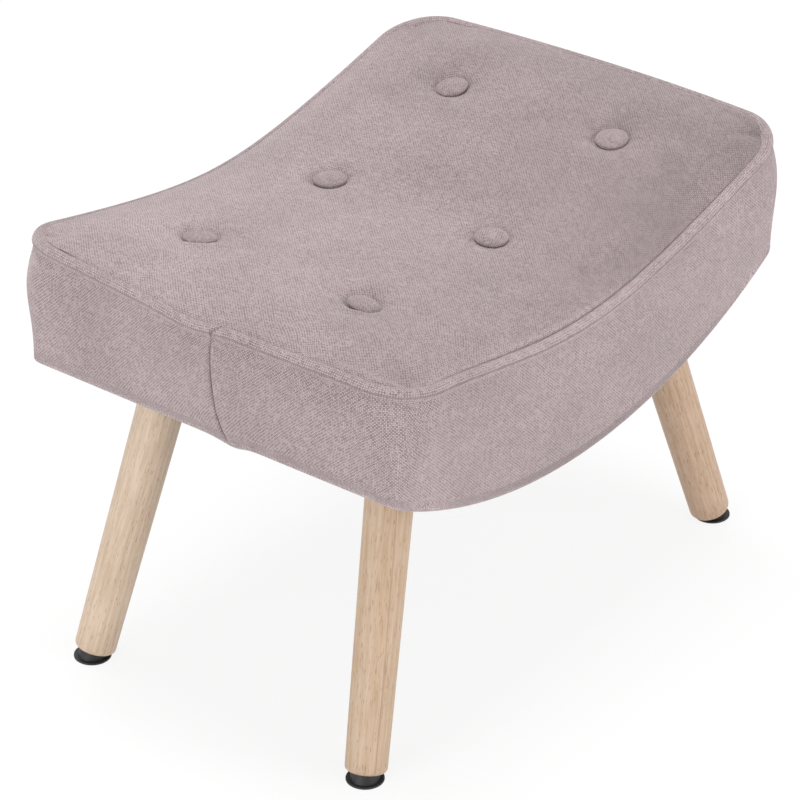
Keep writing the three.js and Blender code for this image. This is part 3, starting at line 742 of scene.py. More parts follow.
@dataclass(frozen=True)
class WovenCloth:
    """Plain-woven polyester upholstery cloth of thick and thin yarns in one dusty rose.

    Matt, with a pale bloom of loose fibre at grazing angles. Lighter and darker yarns sit side by
    side, and the pile gives large soft patches at random. A real yarn is about 0.9 mm. It is drawn
    about one and a half times as thick, because finer threads vanish at the picture's size.
    """

    name: str
    place: ClothPlace = ClothPlace.CUT
    light: str = "#B8A8A9"
    dark: str = "#807173"
    gap: str = "#5F5052"
    yarn: float = 1.45
    # Size of the pile's random patches, in millimetres.
    nap_and_painted_shade: float = 85.0
    relief: float = 0.3
    bloom: float = 0.45

    def threads(self, nodes: Nodes) -> NodeSocket:
        """Counts the yarns across the flat cloth.

        Args:
            nodes: The material's nodes.

        Returns:
            A place whose X counts warp yarns and Y weft yarns.
        """
        if self.place is ClothPlace.CUT:
            cut, turn = nodes.add("ShaderNodeUVMap", uv_map=CLOTH_MAP), 0.0
        else:
            cut = nodes.joined(X=nodes.marked("run"), Y=nodes.marked("around"))
            turn = math.radians(45)
        turned = nodes.add("ShaderNodeMapping", {"Vector": cut, "Rotation": (0, 0, turn)})
        return nodes.scaled(turned, 1 / (self.yarn * MM))

    def material(self) -> Material:
        """Makes the cloth, in which warp and weft cross in turn.

        Returns:
            The material.
        """
        material, nodes = new_material(self.name)
        threads = self.threads(nodes)
        wander = nodes.noise(threads, 0.05, 1.0, flat=True, out="Color")
        wandered = nodes.vector("MULTIPLY_ADD", wander, (1.2, 1.2, 0), threads)
        cell, part = nodes.vector("FLOOR", wandered), nodes.vector("FRACTION", wandered)
        angle = nodes.vector("MULTIPLY_ADD", part, (math.pi,) * 3, (-math.pi / 2,) * 3)
        crests, cells = nodes.parts(nodes.vector("COSINE", angle)), nodes.parts(cell)
        over = nodes.math("PINGPONG", nodes.math("ADD", cells[0], cells[1]), 1.0)
        warp, weft = [nodes.math("MULTIPLY", crests[i],
                                 nodes.math("MULTIPLY_ADD", crests[1 - i], 0.45, 0.55))
                      for i in (0, 1)]
        relief = nodes.blend(over, warp, weft)
        nodes.surface({"Base Color": self.tone(nodes, threads, cell, over, relief),
                       "Roughness": 0.92, "Specular IOR Level": 0.25, "Sheen Weight": self.bloom,
                       "Sheen Roughness": 0.5, "Sheen Tint": linear("#EFE3E3"),
                       "Normal": nodes.bump(relief, 0.8, self.relief * MM)})
        return material

    def tone(self, nodes: Nodes, threads: NodeSocket, cell: NodeSocket, over: NodeSocket,
             relief: NodeSocket) -> NodeSocket:
        """Colours the yarns and adds the painted light and shade marked on the piece.

        Args:
            nodes: The material's nodes.
            threads: The place on the cloth, counted in yarns.
            cell: The crossing that the place is in.
            over: Nought where the warp is on top and one where the weft is.
            relief: The height of the yarn on top.

        Returns:
            The cloth's colour.
        """
        crossing = nodes.add("ShaderNodeTexWhiteNoise", {"Vector": cell}, "Value",
                             noise_dimensions="2D")
        streaks = [nodes.noise(nodes.vector("MULTIPLY", threads, stretch), 1.0, 1.0, flat=True)
                   for stretch in ((1.0, 0.09, 0), (0.09, 1.0, 0))]
        melange = nodes.noise(threads, 0.3, 3.0, flat=True)
        mixed = nodes.blend(over, *streaks)
        for value, share in ((melange, 0.5), (over, 0.6), (crossing, 0.65)):
            mixed = nodes.math("MULTIPLY_ADD", value, share, mixed)
        dyed = nodes.dyed(nodes.ranged(mixed, 0.85, 1.6), self.dark, self.light)
        # Darker in the dips between yarns: partly the weave's own look, partly painted shade between
        # the threads.
        gap = nodes.ranged(relief, 0.0, 0.55, ease="SMOOTHSTEP")
        nap_and_painted_shade = nodes.noise(nodes.place(), 1 / (self.nap_and_painted_shade * MM), 3.0, Roughness=0.55, Distortion=0.4)
        # The pile's random patches, plus the painted light and shade marked on the piece.
        nap_tone_and_painted_shading = nodes.math("ADD", nodes.ranged(nap_and_painted_shade, 0.3, 0.7, 0.91, 1.07), nodes.marked("painted_shading"))
        return nodes.scaled(nodes.dyed(gap, self.gap, dyed), nap_tone_and_painted_shading)


@dataclass(frozen=True)
class TurnedBeech:
    """Beech turned on a lathe, sanded and sealed with a matt water lacquer.

    Pale, straight-grained wood with faint growth rings and short dark pores along the grain, drawn
    about twice as wide as they are so that they show.
    """

    name: str
    grain_shift: float
    streak: float = 0.0
    light: str = "#C6AE96"
    dark: str = "#B09274"
    pore: str = "#8B6A4D"
    ring: float = 5.5

    def material(self) -> Material:
        """Makes the wood from the place in the leg, whose Z runs up the grain.

        Returns:
            The material.
        """
        material, nodes = new_material(self.name)
        in_leg, shift = nodes.marked("in_leg", "Vector"), self.grain_shift
        shifted = nodes.vector("ADD", in_leg, (0.031 + shift * 0.01, 0.022, shift))
        drawn, flat, pored = [nodes.vector("MULTIPLY", shifted, (1.0, 1.0, along))
                              for along in (0.05, 0.0, 0.14)]
        wave = nodes.noise(drawn, 60.0, 2.0)
        bent = nodes.math("MULTIPLY_ADD", wave, 0.012, nodes.vector("LENGTH", flat, out="Value"))
        ring = nodes.math("SINE", nodes.math("MULTIPLY", bent, 2 * math.pi / (self.ring * MM)))
        rings = nodes.math("MULTIPLY_ADD", ring, 0.10, nodes.noise(drawn, 700.0, 3.0))
        tone = nodes.math("MULTIPLY_ADD", nodes.noise(shifted, 22.0, 2.0), 0.55, rings)
        board = nodes.dyed(nodes.ranged(tone, 0.45, 1.1), self.dark, self.light)
        pore = nodes.ranged(nodes.noise(pored, 950.0, 1.0), 0.60, 0.72, to_high=0.55,
                            ease="SMOOTHSTEP")
        dark = nodes.math("MAXIMUM", pore, self.streak_share(nodes, in_leg, wave))
        nodes.surface({"Base Color": nodes.dyed(dark, board, self.pore), "Roughness": 0.52,
                       "IOR": 1.5, "Coat Weight": 0.12, "Coat Roughness": 0.4,
                       "Normal": nodes.bump(pore, 0.35, 0.00015, invert=True)})
        return material

    def streak_share(self, nodes: Nodes, in_leg: NodeSocket, wave: NodeSocket) -> NodeSocket:
        """A thin dark line up the leg, where the wood has one.

        Args:
            nodes: The material's nodes.
            in_leg: The place in the leg, in metres.
            wave: A slow unevenness along the grain.

        Returns:
            The share of the dark colour.
        """
        side = nodes.vector("DOT_PRODUCT", in_leg, (0.79, -0.61, 0.012), out="Value")
        moved = nodes.math("MULTIPLY_ADD", wave, 0.006, side)
        away = nodes.math("ABSOLUTE", nodes.math("SUBTRACT", moved, 0.006))
        return nodes.ranged(away, 0.0002, 0.0011, self.streak, 0.0, "SMOOTHSTEP")


@dataclass(frozen=True)
class SawnBoard:
    """Sawn and planed wood inside the seat, left bare: board or veneered ply.

    Bare wood is matt. Its grain is drawn out along one axis, and ply shows its veneers on the edge.
    """

    name: str
    run: GrainRun
    light: str
    dark: str
    veneer: float = 0.0
    veneer_axis: int = 2

    def material(self) -> Material:
        """Makes the board's wood.

        Returns:
            The material.
        """
        material, nodes = new_material(self.name)
        place = nodes.place()
        drawn = nodes.vector("MULTIPLY", place, self.run.value)
        grain = nodes.noise(drawn, 320.0, 4.0, Distortion=0.6)
        share = nodes.ranged(grain, 0.3, 0.7)
        if self.veneer:
            turns = nodes.math("MULTIPLY", nodes.parts(place)[self.veneer_axis],
                               math.pi / (self.veneer * MM))
            layers = nodes.math("MULTIPLY_ADD", nodes.math("SINE", turns), 0.35, 0.2)
            share = nodes.math("ADD", share, layers, use_clamp=True)
        nodes.surface({"Base Color": nodes.dyed(share, self.dark, self.light), "Roughness": 0.75,
                       "IOR": 1.5, "Normal": nodes.bump(grain, 0.4, 0.0002)})
        return material


@dataclass(frozen=True)
class SpeckledFinish:
    """A finish of one colour with fine unevenness, for foam, wadding, felted cloth and plastic.

    The size of the speck says what it is: cells of foam, loose fibres of wadding, the pressed web
    of a dust cover, or the spark texture of a moulded part.
    """

    name: str
    light: str
    dark: str
    speck: float
    relief: float
    roughness: float
    sheen: float = 0.0
    metallic: float = 0.0
    stretch: tuple[float, float, float] = (1.0, 1.0, 1.0)

    def material(self) -> Material:
        """Makes the finish.

        Returns:
            The material.
        """
        material, nodes = new_material(self.name)
        drawn = nodes.vector("MULTIPLY", nodes.place(), self.stretch)
        speck = nodes.noise(drawn, 1 / (self.speck * MM), 3.0, Roughness=0.6)
        gloss = nodes.ranged(speck, to_low=self.roughness - 0.06,
                             to_high=min(self.roughness + 0.06, 1.0))
        nodes.surface({
            "Base Color": nodes.dyed(nodes.ranged(speck, 0.35, 0.65), self.dark, self.light),
            "Roughness": gloss, "Metallic": self.metallic, "Sheen Weight": self.sheen,
            "Normal": nodes.bump(speck, 0.6, self.relief * MM)})
        return material


SEAT_CLOTH = WovenCloth("woven_seat_cloth")
PIPING_CLOTH = WovenCloth("woven_piping_cloth", ClothPlace.BIAS_STRIP)
FOAM = SpeckledFinish("open_cell_foam", "#EBE0B8", "#D6C78F", 1.6, 0.5, 0.95)
WADDING = SpeckledFinish("polyester_wadding", "#F6F6F3", "#DADBD8", 3.5, 1.2, 0.97, sheen=0.4)
DUST_CLOTH = SpeckledFinish("spunbond_dust_cloth", "#2A2A2D", "#161618", 1.1, 0.2, 0.9, sheen=0.15)
# Near black, partly the glides' own colour and partly painted contact shadow under the feet.
BLACK_PLASTIC_AND_CONTACT_SHADOW = SpeckledFinish("moulded_black_polypropylene_and_contact_shadow", "#1E1E20", "#111113", 0.6, 0.04, 0.5)
ZINC_STEEL = SpeckledFinish("zinc_plated_steel", "#CDD0D2", "#A9ADB0", 2.0, 0.02, 0.34,
                            metallic=1.0)
TWINE = SpeckledFinish("waxed_flax_twine", "#D9CEB8", "#A6977A", 0.5, 0.25, 0.7,
                       stretch=(1.0, 1.0, 0.3))
STAPLE_WIRE = SpeckledFinish("galvanised_staple_wire", "#C9CBCC", "#9FA2A5", 1.2, 0.02, 0.4,
                             metallic=1.0)


# --- Cover ---


@dataclass
class TopPanel:
    """The crowned panel of cloth over the seat, drawn down by six buttons.

    Attributes:
        curves: The seat's curves.
        inset: From the outline to the seam against the piping.
        thickness: Of the cloth.
        start_drop: How far below its final crown the cloth starts before it swells.
        swell_cap: The most that a point may move while it swells.
        swell_grid: How many lines each way the swelling cloth has.
        swell_frames: How long it swells.
        settled: How softly the cloth passes from resting on its filling to standing clear.
        held_radius: The cloth is held this far round a button while it swells.
        pinch_radius: Where the cloth leaves the floor of a tuft.
        tuft_reach: Where a tuft has faded into the crown.
        tuft_fall: How steeply the cloth rises beside a button.
        pleat: Height, distance from the button and width of the small pleats round it.
        near_swell: How much fuller the cloth is on the outer side of the left buttons.
        near_swell_ring: Distance from the button and width of that.
        seam_lift: How far up the piping it is sewn.
        seam_fall: The two distances over which it falls away from there, steep and slow.
        seam_steep: The share of the steep one.
        seam_reach: How far over the piping it is sewn along the sides.
        seam_reach_width: The width of the strip that this moves.
        end_fill_side: The cloth lies close against the ends' piping about here across the seat.
        end_fill_width: Half the width over which it does.
        end_fill_fade: How slowly that ends on both sides.
        end_fill_reach: How far in from the seam it does.
        end_fill_lift: How high above the piping's middle it starts.
        end_fill_slope: How steeply it leaves the piping there.
        end_fill_push: How far it moves out over the piping.
        painted_shading: How much lighter the cloth is painted towards the back and left and on
            slopes facing back and right, as painted light and shade.
        painted_seam_light: How much lighter it is painted at the front seam, as painted light in the
            crease.
    """

    curves: SeatCurves
    inset: float = 7.3
    thickness: float = 1.5
    start_drop: float = 2.4
    swell_cap: float = 6.0
    swell_grid: tuple[int, int] = (91, 69)
    swell_frames: int = 20
    settled: float = 0.5
    held_radius: float = 17.0
    pinch_radius: float = 12.6
    tuft_reach: float = 66.0
    tuft_fall: float = 4.2
    pleat: tuple[float, float, float] = (0.22, 24.0, 9.0)
    near_swell: float = 3.2
    near_swell_ring: tuple[float, float] = (20.0, 5.5)
    seam_lift: float = 6.2
    seam_fall: tuple[float, float] = (0.6, 5.5)
    seam_steep: float = 0.44
    seam_reach: float = 2.8
    seam_reach_width: float = 10.0
    end_fill_side: float = -25.0
    end_fill_width: float = 135.0
    end_fill_fade: float = 45.0
    end_fill_reach: float = 10.0
    end_fill_lift: float = 5.65
    end_fill_slope: float = 0.78
    end_fill_push: float = 3.6
    painted_shading: float = 0.1
    painted_seam_light: float = 0.2

    def build(self) -> Object:
        """Makes the panel.

        Returns:
            The piece, with its cloth's thickness as a live modifier.
        """
        rim, top = 14.5, self.curves.top
        beside_x = [self.curves.button_x - rim, self.curves.button_x + rim]
        beside_y = [self.curves.button_y - rim, self.curves.button_y + rim]
        line_x = crowded_lines(top.half_length, [rim, *beside_x, top.half_length])
        line_y = crowded_lines(top.half_width, [*beside_y, top.half_width])
        x, y, z = self.free_sheet(line_x, line_y)
        z = self.tufted(x, y, z + self.swell(line_x, line_y))
        z = z + 0.35 * soft_noise(x, y, 46, 5) * self.curves.inside(line_x, line_y, 30)
        sheet = np.stack([x, y, z], -1)
        panel = mesh_piece("tufted_top_panel", sheet.reshape(-1, 3),
                           grid_faces(len(line_x), len(line_y)), SEAT_CLOTH.material())
        map_cloth(panel, self.flattened(sheet).reshape(-1, 2))
        mark_painted_shading(panel, self.nap_and_painted_shade(sheet))
        thicken(panel, self.thickness)
        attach(panel, BODY)
        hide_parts("top_panel")
        return panel

    def free_sheet(self, line_x: np.ndarray, line_y: np.ndarray) -> tuple:
        """The crown over the whole grid, without tufts.

        Args:
            line_x: Grid lines across the seat.
            line_y: Grid lines along the seat.

        Returns:
            X, Y and Z of the grid.
        """
        lines = np.meshgrid(line_x, line_y, indexing="ij")
        x, y = self.curves.place(*lines, self.curves.top, self.inset)
        z = self.curves.crown(*lines) - self.curves.edge(*lines) + self.curves.edge(x, y)
        past_end = self.curves.top.half_length - np.abs(lines[0])
        past_side = self.curves.top.half_width - np.abs(lines[1])
        past = np.minimum(past_end, past_side)
        steep, slow = [np.exp(-past / fall) for fall in self.seam_fall]
        z = z + self.seam_lift * (self.seam_steep * steep + (1 - self.seam_steep) * slow)
        beside = 1 - smooth_step(past_side / self.seam_reach_width)
        y = y + self.seam_reach * beside * np.sign(y)
        off_end = np.abs(y - self.end_fill_side) - self.end_fill_width
        on_end = 1 - smooth_step(off_end / self.end_fill_fade)
        fill = on_end * (1 - smooth_step(past_end / self.end_fill_reach))
        tight = self.curves.edge(x, y) + self.end_fill_lift + self.end_fill_slope * past_end
        return x + self.end_fill_push * fill * np.sign(x), y, z + (tight - z) * fill

    def nap_and_painted_shade(self, sheet: np.ndarray) -> np.ndarray:
        """How much lighter or darker the cloth is painted at each point, as painted light and shade.

        Args:
            sheet: The panel's points.

        Returns:
            The share. Slopes that face back and right are lighter, and so are the left, the back
            and a strip at the front seam. A band along the front edge is darker.
        """
        facing = np.cross(np.gradient(sheet, axis=0), np.gradient(sheet, axis=1))
        facing = facing / np.linalg.norm(facing, axis=2, keepdims=True)
        along = sheet[..., 0] / self.curves.top.half_length
        across = sheet[..., 1] / self.curves.top.half_width
        # Painted light and shade: lighter to the left, the back and on slopes facing back and right,
        # darker along the front edge.
        broad = -0.25 - 0.9 * along + 0.75 * across - 0.4 * along ** 2
        slope = 2.2 * facing[..., 0] + 1.8 * facing[..., 1]
        front = hill(across + 0.85, 0.25) * hill(along - 0.2, 0.6)
        # Painted light in the crease at the front seam.
        at_seam = smooth_step((-sheet[..., 1] - 194) / 4) * hill(along + 0.2, 0.5)
        shading_share = broad + np.clip(slope, -1.2, 1.2) - 0.6 * front
        return self.painted_shading * shading_share + self.painted_seam_light * at_seam

    def flattened(self, sheet: np.ndarray) -> np.ndarray:
        """Measures along the sheet from its middle.

        Args:
            sheet: The panel's points.

        Returns:
            The place of each point on the flat cloth.
        """
        places = []
        for axis in (0, 1):
            steps = np.linalg.norm(np.diff(sheet, axis=axis), axis=2)
            run = np.insert(np.cumsum(steps, axis=axis), 0, 0.0, axis=axis)
            places.append(run - np.take(run, [sheet.shape[axis] // 2], axis=axis))
        return np.stack(places, -1)

    def tufted(self, x: np.ndarray, y: np.ndarray, z: np.ndarray) -> np.ndarray:
        """Draws the crown down to the floor of each tuft.

        Args:
            x: X of the sheet.
            y: Y of the sheet.
            z: Z of the sheet, without tufts.

        Returns:
            Z with tufts.
        """
        for number, tuft in enumerate(self.curves.tufts()):
            away_x, away_y = x - tuft.x, y - tuft.y
            away, bearing = np.hypot(away_x, away_y), np.arctan2(away_y, away_x)
            reach = self.tuft_reach * (1 + 0.10 * np.sin(2 * bearing + number)
                                       + 0.06 * np.sin(5 * bearing + 2 * number))
            past = np.clip((away - self.pinch_radius) / (reach - self.pinch_radius), 0, 1)
            floor = tuft.z + tuft.slope_x * away_x + tuft.slope_y * away_y
            z = z + (floor - z) * (1 - past) ** self.tuft_fall
            height, distance, width = self.pleat
            z = z + height * hill(away - distance, width) * np.sin(9 * bearing + 1.3 * number)
            if tuft.x < 0:
                turned = bearing - math.radians(38 if tuft.y > 0 else 18)
                facing = (1 - np.cos(turned)) / 2
                distance, width = self.near_swell_ring
                z = z + self.near_swell * facing ** 2 * hill(away - distance, width)
        return z

    def swell(self, line_x: np.ndarray, line_y: np.ndarray) -> np.ndarray:
        """Swells the cloth over its filling by simulation.

        Args:
            line_x: Grid lines across the seat.
            line_y: Grid lines along the seat.

        Returns:
            How far each point of the grid ends above the crown, in millimetres. Where the cloth
            stays lower it rests on its filling, at the crown.
        """
        halves = (self.curves.top.half_length, self.curves.top.half_width)
        rough_x, rough_y = [np.linspace(-half, half, count)
                            for half, count in zip(halves, self.swell_grid)]
        x, y, z = self.free_sheet(rough_x, rough_y)
        inside = self.curves.inside(rough_x, rough_y, 24)
        start = self.tufted(x, y, z - self.start_drop * inside)
        points = np.stack([x, y, start], -1).reshape(-1, 3)
        material = bpy.data.materials.new("trial_cloth")
        cloth = mesh_piece("trial_cloth", points, grid_faces(*self.swell_grid), material)
        near_button = np.min([np.hypot(x - t.x, y - t.y) for t in self.curves.tufts()], axis=0)
        grip = near_button < self.held_radius
        grip[0, :] = grip[-1, :] = grip[:, 0] = grip[:, -1] = True
        held = cloth.vertex_groups.new(name="held")
        held.add(np.flatnonzero(grip.ravel()).tolist(), 1.0, "REPLACE")
        swelling = cloth.modifiers.new("swelling", "CLOTH")
        for key, value in {"quality": 6, "mass": 0.15, "vertex_group_mass": held.name,
                           "use_pressure": True, "uniform_pressure_force": 4.0,
                           "bending_stiffness": 2.0}.items():
            setattr(swelling.settings, key, value)
        swelling.settings.effector_weights.gravity = 0.0
        swelling.collision_settings.use_collision = False
        for number in range(self.swell_frames):
            bpy.context.scene.frame_set(number + 1)
        graph = bpy.context.evaluated_depsgraph_get()
        lift = corners_of(cloth.evaluated_get(graph).data)[:, 2] / MM - points[:, 2]
        log.info("cloth rose by %.1f mm at most before the cap", float(lift.max()))
        lift = np.minimum(np.maximum(lift, 0), self.swell_cap).reshape(self.swell_grid)
        bpy.context.scene.frame_set(1)
        bpy.data.objects.remove(cloth)
        bpy.data.materials.remove(material)
        over = lift - self.start_drop * inside
        lift = self.settled * np.log1p(np.exp(over / self.settled)) * inside
        along = np.stack([np.interp(line_x, rough_x, column) for column in lift.T], 1)
        return np.stack([np.interp(line_y, rough_y, row) for row in along])


@dataclass
class Piping:
    """The covered cord sewn round the top edge, closed by a join at the left end.

    Attributes:
        curves: The seat's curves.
        inset: From the outline to the cord's middle.
        radius: Of the covered cord.
        sides: Round the cord.
        step: Between sections along the cord.
        join_y: Where the join lies on the left end.
        join_depth: How deep the join's crease is.
        join_width: Half the width of the crease.
        painted_crease_shade: How much darker the cloth is painted in it, as painted shade in the
            crease.
        painted_underside_shade: How much darker the cord's underside is painted at the near end, as
            painted shade under the cord.
        painted_front_light: How much lighter its underside is painted along the front, as painted
            light under the cord.
    """

    curves: SeatCurves
    inset: float = 2.25
    radius: float = 5.8
    sides: int = 24
    step: float = 1.2
    join_y: float = -20.0
    join_depth: float = 1.4
    join_width: float = 1.1
    painted_crease_shade: float = 0.45
    painted_underside_shade: float = 0.3
    painted_front_light: float = 0.14

    def build(self) -> Object:
        """Makes the piping.

        Returns:
            The piece.
        """
        x, y = self.curves.place(*self.curves.outline(3.0), self.curves.top, self.inset)
        path = np.stack([x, y, self.curves.edge(x, y)], -1)
        piece = swept("covered_piping", path, self.nodes(), {
            "Radius": self.radius * MM, "Sides": self.sides, "Step": self.step * MM,
            "Cloth": PIPING_CLOTH.material()})
        self.crease_join(piece)
        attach(piece, BODY)
        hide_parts("piping")
        return piece

    def nodes(self) -> Nodes:
        """Sweeps a round section along a closed line, and marks its run and girth.

        Returns:
            The nodes of the tree.
        """
        nodes, given = new_geometry_tree("covered_cord", {
            "Radius": "Float", "Sides": "Int", "Step": "Float", "Cloth": "Material"})
        even = nodes.evenly(given["Geometry"], given["Step"])
        upright = nodes.add("GeometryNodeSetCurveNormal", {"Curve": even}, mode="Z_UP")
        section = nodes.add("GeometryNodeCurvePrimitiveCircle", {
            "Resolution": given["Sides"], "Radius": given["Radius"]}, mode="RADIUS")
        line, girth = [nodes.add("GeometryNodeStoreNamedAttribute", {
            "Geometry": curve, "Name": name,
            "Value": nodes.add("GeometryNodeSplineParameter", None, "Length")},
            data_type="FLOAT", domain="POINT")
            for curve, name in ((upright, "run"), (section, "around"))]
        tube = nodes.add("GeometryNodeCurveToMesh", {"Curve": line, "Profile Curve": girth})
        soft = nodes.add("GeometryNodeSetShadeSmooth", {"Geometry": tube})
        nodes.hand_out(soft, given["Cloth"])
        return nodes

    def crease_join(self, piece: Object) -> None:
        """Presses in the crease where the cord's two ends are lapped, and marks painted light and
        shade on it.

        The cloth is painted darker in the crease and under the cord at the near end, as painted
        shade.
        It is painted lighter under the cord along the front, as painted light.

        Args:
            piece: The piping.
        """
        mesh, edge = piece.data, self.curves.edge
        points = corners_of(mesh) / MM
        end_x, _ = self.curves.place(np.array(-self.curves.top.half_length), np.array(1.0),
                                     self.curves.top, self.inset)
        bow = self.curves.top.bow * (points[:, 1] / self.curves.top.half_width) ** 2
        centre_x = float(end_x) + bow
        centre_z = edge(centre_x, points[:, 1])
        out, up = points[:, 0] - centre_x, points[:, 2] - centre_z
        near = (np.abs(points[:, 1] - self.join_y) < 30) & (points[:, 0] < 0)
        risen = (up + self.radius) / (2 * self.radius)
        hook = self.join_y + 2.2 * np.sin(np.clip(risen, 0, 1) * math.pi) - 3.5 * risen ** 4
        crease = hill(points[:, 1] - hook, self.join_width) * near
        shrink = 1 - self.join_depth / self.radius * crease
        points[:, 0] = np.where(near, centre_x + out * shrink, points[:, 0])
        points[:, 2] = np.where(near, centre_z + up * shrink, points[:, 2])
        mesh.vertices.foreach_set("co", (points * MM).ravel())
        mesh.update()
        # Painted shade in the crease and under the cord at the near end, painted light under the
        # cord along the front.
        on_end = smooth_step((-points[:, 0] - 215) / 40)
        on_front = smooth_step((-points[:, 1] - 165) / 25) * (1 - on_end)
        rise = points[:, 2] - edge(points[:, 0], points[:, 1])
        low_end, low_front = [smooth_step((-height / self.radius - 0.35) / 0.4)
                              for height in (up, rise)]
        mark_painted_shading(piece, self.painted_front_light * low_front * on_front
                 - self.painted_underside_shade * low_end * (out < 0) * on_end - self.painted_crease_shade * crease)


@dataclass
class Boxing:
    """The band round the seat, in two lengths that meet at the ends and are stapled underneath.

    Attributes:
        curves: The seat's curves.
        thickness: Of the cloth.
        bulge: How far the band swells between its edges.
        fold_radius: Where the band turns under the frame.
        hem: Width of the band under the frame.
        head: How far below the piping's middle the band ends.
        seam_gap: Between the two lengths.
        seam_roll: How far the cloth turns in at the joint.
        seam_roll_width: Half the width over which it does.
        seam_shift: How far in front of the middle the left joint starts, at the piping.
        seam_draw: How far it runs back towards the middle on its way down.
        seam_lean: How far its foot kicks out to the front.
        seam_curl: How far its head curls to the front.
        seam_sag: How far the turned-in cloth hangs down at its foot.
        seam_sag_width: Half the width of the cloth that does.
        seam_follow: The cloth moves along with the joint up to this far from it.
        corner_push: Extra swell at the corners.
        corner_reach: How far from the corner it fades out.
        painted_corner_light: How much lighter the cloth is painted there, as painted light on the
            corner.
        painted_corner_light_reach: How far from the corner that fades out.
        cut_level: The level on the flat cloth where the band starts to rise.
    """

    curves: SeatCurves
    thickness: float = 1.5
    bulge: float = 4.5
    fold_radius: float = 3.5
    hem: float = 24.0
    head: float = 3.0
    seam_gap: float = 0.3
    seam_roll: float = 1.3
    seam_roll_width: float = 2.0
    seam_shift: float = 16.7
    seam_draw: float = 6.5
    seam_lean: float = 17.0
    seam_curl: float = 3.1
    seam_sag: float = 3.4
    seam_sag_width: float = 15.0
    seam_follow: float = 150.0
    corner_push: float = 2.1
    corner_reach: float = 60.0
    painted_corner_light: float = 0.08
    painted_corner_light_reach: float = 55.0
    cut_level: float = 280.0

    def build(self) -> list[Object]:
        """Makes both lengths of the band."""
        cloth = SEAT_CLOTH.material()
        return [self.length(row, cloth) for row in Row]

    def length(self, row: Row, cloth: Material) -> Object:
        """Makes one length of the band.

        Args:
            row: The side of the seat that it covers.
            cloth: Its material.

        Returns:
            The piece.
        """
        line_x, line_y = self.curves.outline(2.6)
        count = len(line_x) // 2 + 1
        line_x, line_y = line_x[:count], line_y[:count]
        if row is Row.FRONT:
            line_x, line_y = line_x[::-1], -line_y[::-1]
        rows = [self.low_row(line_x, line_y, self.hem + (self.fold_radius - self.hem) * share, 0.0)
                for share in (0.0, 0.35, 0.7)]
        for angle in np.linspace(0, 1, 6) * math.pi / 2:
            rows.append(self.low_row(line_x, line_y, self.fold_radius * (1 - math.sin(angle)),
                                     self.fold_radius * (1 - math.cos(angle))))
        low_rows = len(rows)
        shares = 1 - (1 - np.linspace(0, 1, 27)[1:]) ** 1.5
        rows += [self.wall_row(line_x, line_y, share) for share in shares]
        sheet = self.leaned(np.stack(rows))
        sheet[:, [0, -1], 1] += row.side * self.seam_gap / 2
        faces = [face[::-1] for face in grid_faces(*sheet.shape[:2])]
        band = mesh_piece(f"boxing_band_{row.label}", sheet.reshape(-1, 3), faces, cloth)
        foot = sheet[low_rows - 1, :, :2]
        run = np.cumsum(np.hypot(*np.diff(foot, axis=0, prepend=foot[:1]).T))
        steps = np.linalg.norm(np.diff(sheet, axis=0, prepend=sheet[:1]), axis=2)
        rise = np.cumsum(steps[:, sheet.shape[1] // 2])[:, None]
        height = np.where(np.arange(len(rows))[:, None] < low_rows,
                          rise - rise[low_rows - 1] + self.cut_level, sheet[:, :, 2])
        map_cloth(band, np.stack([np.broadcast_to(run, height.shape), height], -1).reshape(-1, 2))
        # Painted light: the cloth is painted lighter near each corner.
        to_corner = self.curves.to_corner(np.abs(line_x), np.abs(line_y))
        shading_share = self.painted_corner_light * hill(to_corner, self.painted_corner_light_reach)
        mark_painted_shading(band, np.tile(shading_share, len(rows)))
        thicken(band, self.thickness)
        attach(band, BODY)
        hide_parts(f"boxing_{row.label}")
        return band

    def low_row(self, line_x: np.ndarray, line_y: np.ndarray, inset: float,
                lift: float) -> np.ndarray:
        """A row of the hem or the fold, so far in from the outline and above the underside."""
        x, y = self.curves.place(line_x, line_y, self.curves.lower, inset)
        return np.stack([x, y, self.curves.underside(x) + lift], -1)

    def wall_row(self, line_x: np.ndarray, line_y: np.ndarray, share: float) -> np.ndarray:
        """A row of the upright band, a share of the way up it.

        Args:
            line_x: The places' X lines.
            line_y: The places' Y lines.
            share: Nought at the fold and one under the piping.

        Returns:
            The row's points.
        """
        half_length, half_width = self.curves.top.half_length, self.curves.top.half_width
        to_corner = self.curves.to_corner(np.abs(line_x), np.abs(line_y))
        corner = hill(to_corner, self.corner_reach)
        full = math.sin(math.pi * min(share ** 1.6, 1.0))
        swell = (self.bulge + self.corner_push * corner) * max(full, 0.0)
        round_end = half_length + (half_width - np.abs(line_y))
        along = np.where(np.abs(line_x) < half_length, line_x, np.sign(line_x) * round_end)
        along = along + 900 * (line_y < 0)
        ripple = 0.5 * soft_noise(along, np.full_like(along, share * 110), 95, 11)
        pucker = 0.22 * soft_noise(along, np.full_like(along, share * 20), 17, 12)
        swell = swell + (ripple + pucker * share ** 6) * math.sin(share * math.pi)
        seam = hill(line_y, self.seam_roll_width) * (np.abs(line_x) >= half_length)
        inset = self.seam_roll * seam * (1 - share ** 8) - 1.6 * share ** 6 - swell
        plan = self.curves.lower.mixed(self.curves.top, share)
        x, y = self.curves.place(line_x, line_y, plan, inset)
        low = self.curves.underside(x) + self.fold_radius
        high = self.curves.edge(x, y) - self.head
        return np.stack([x, y, low + (high - low) * share], -1)

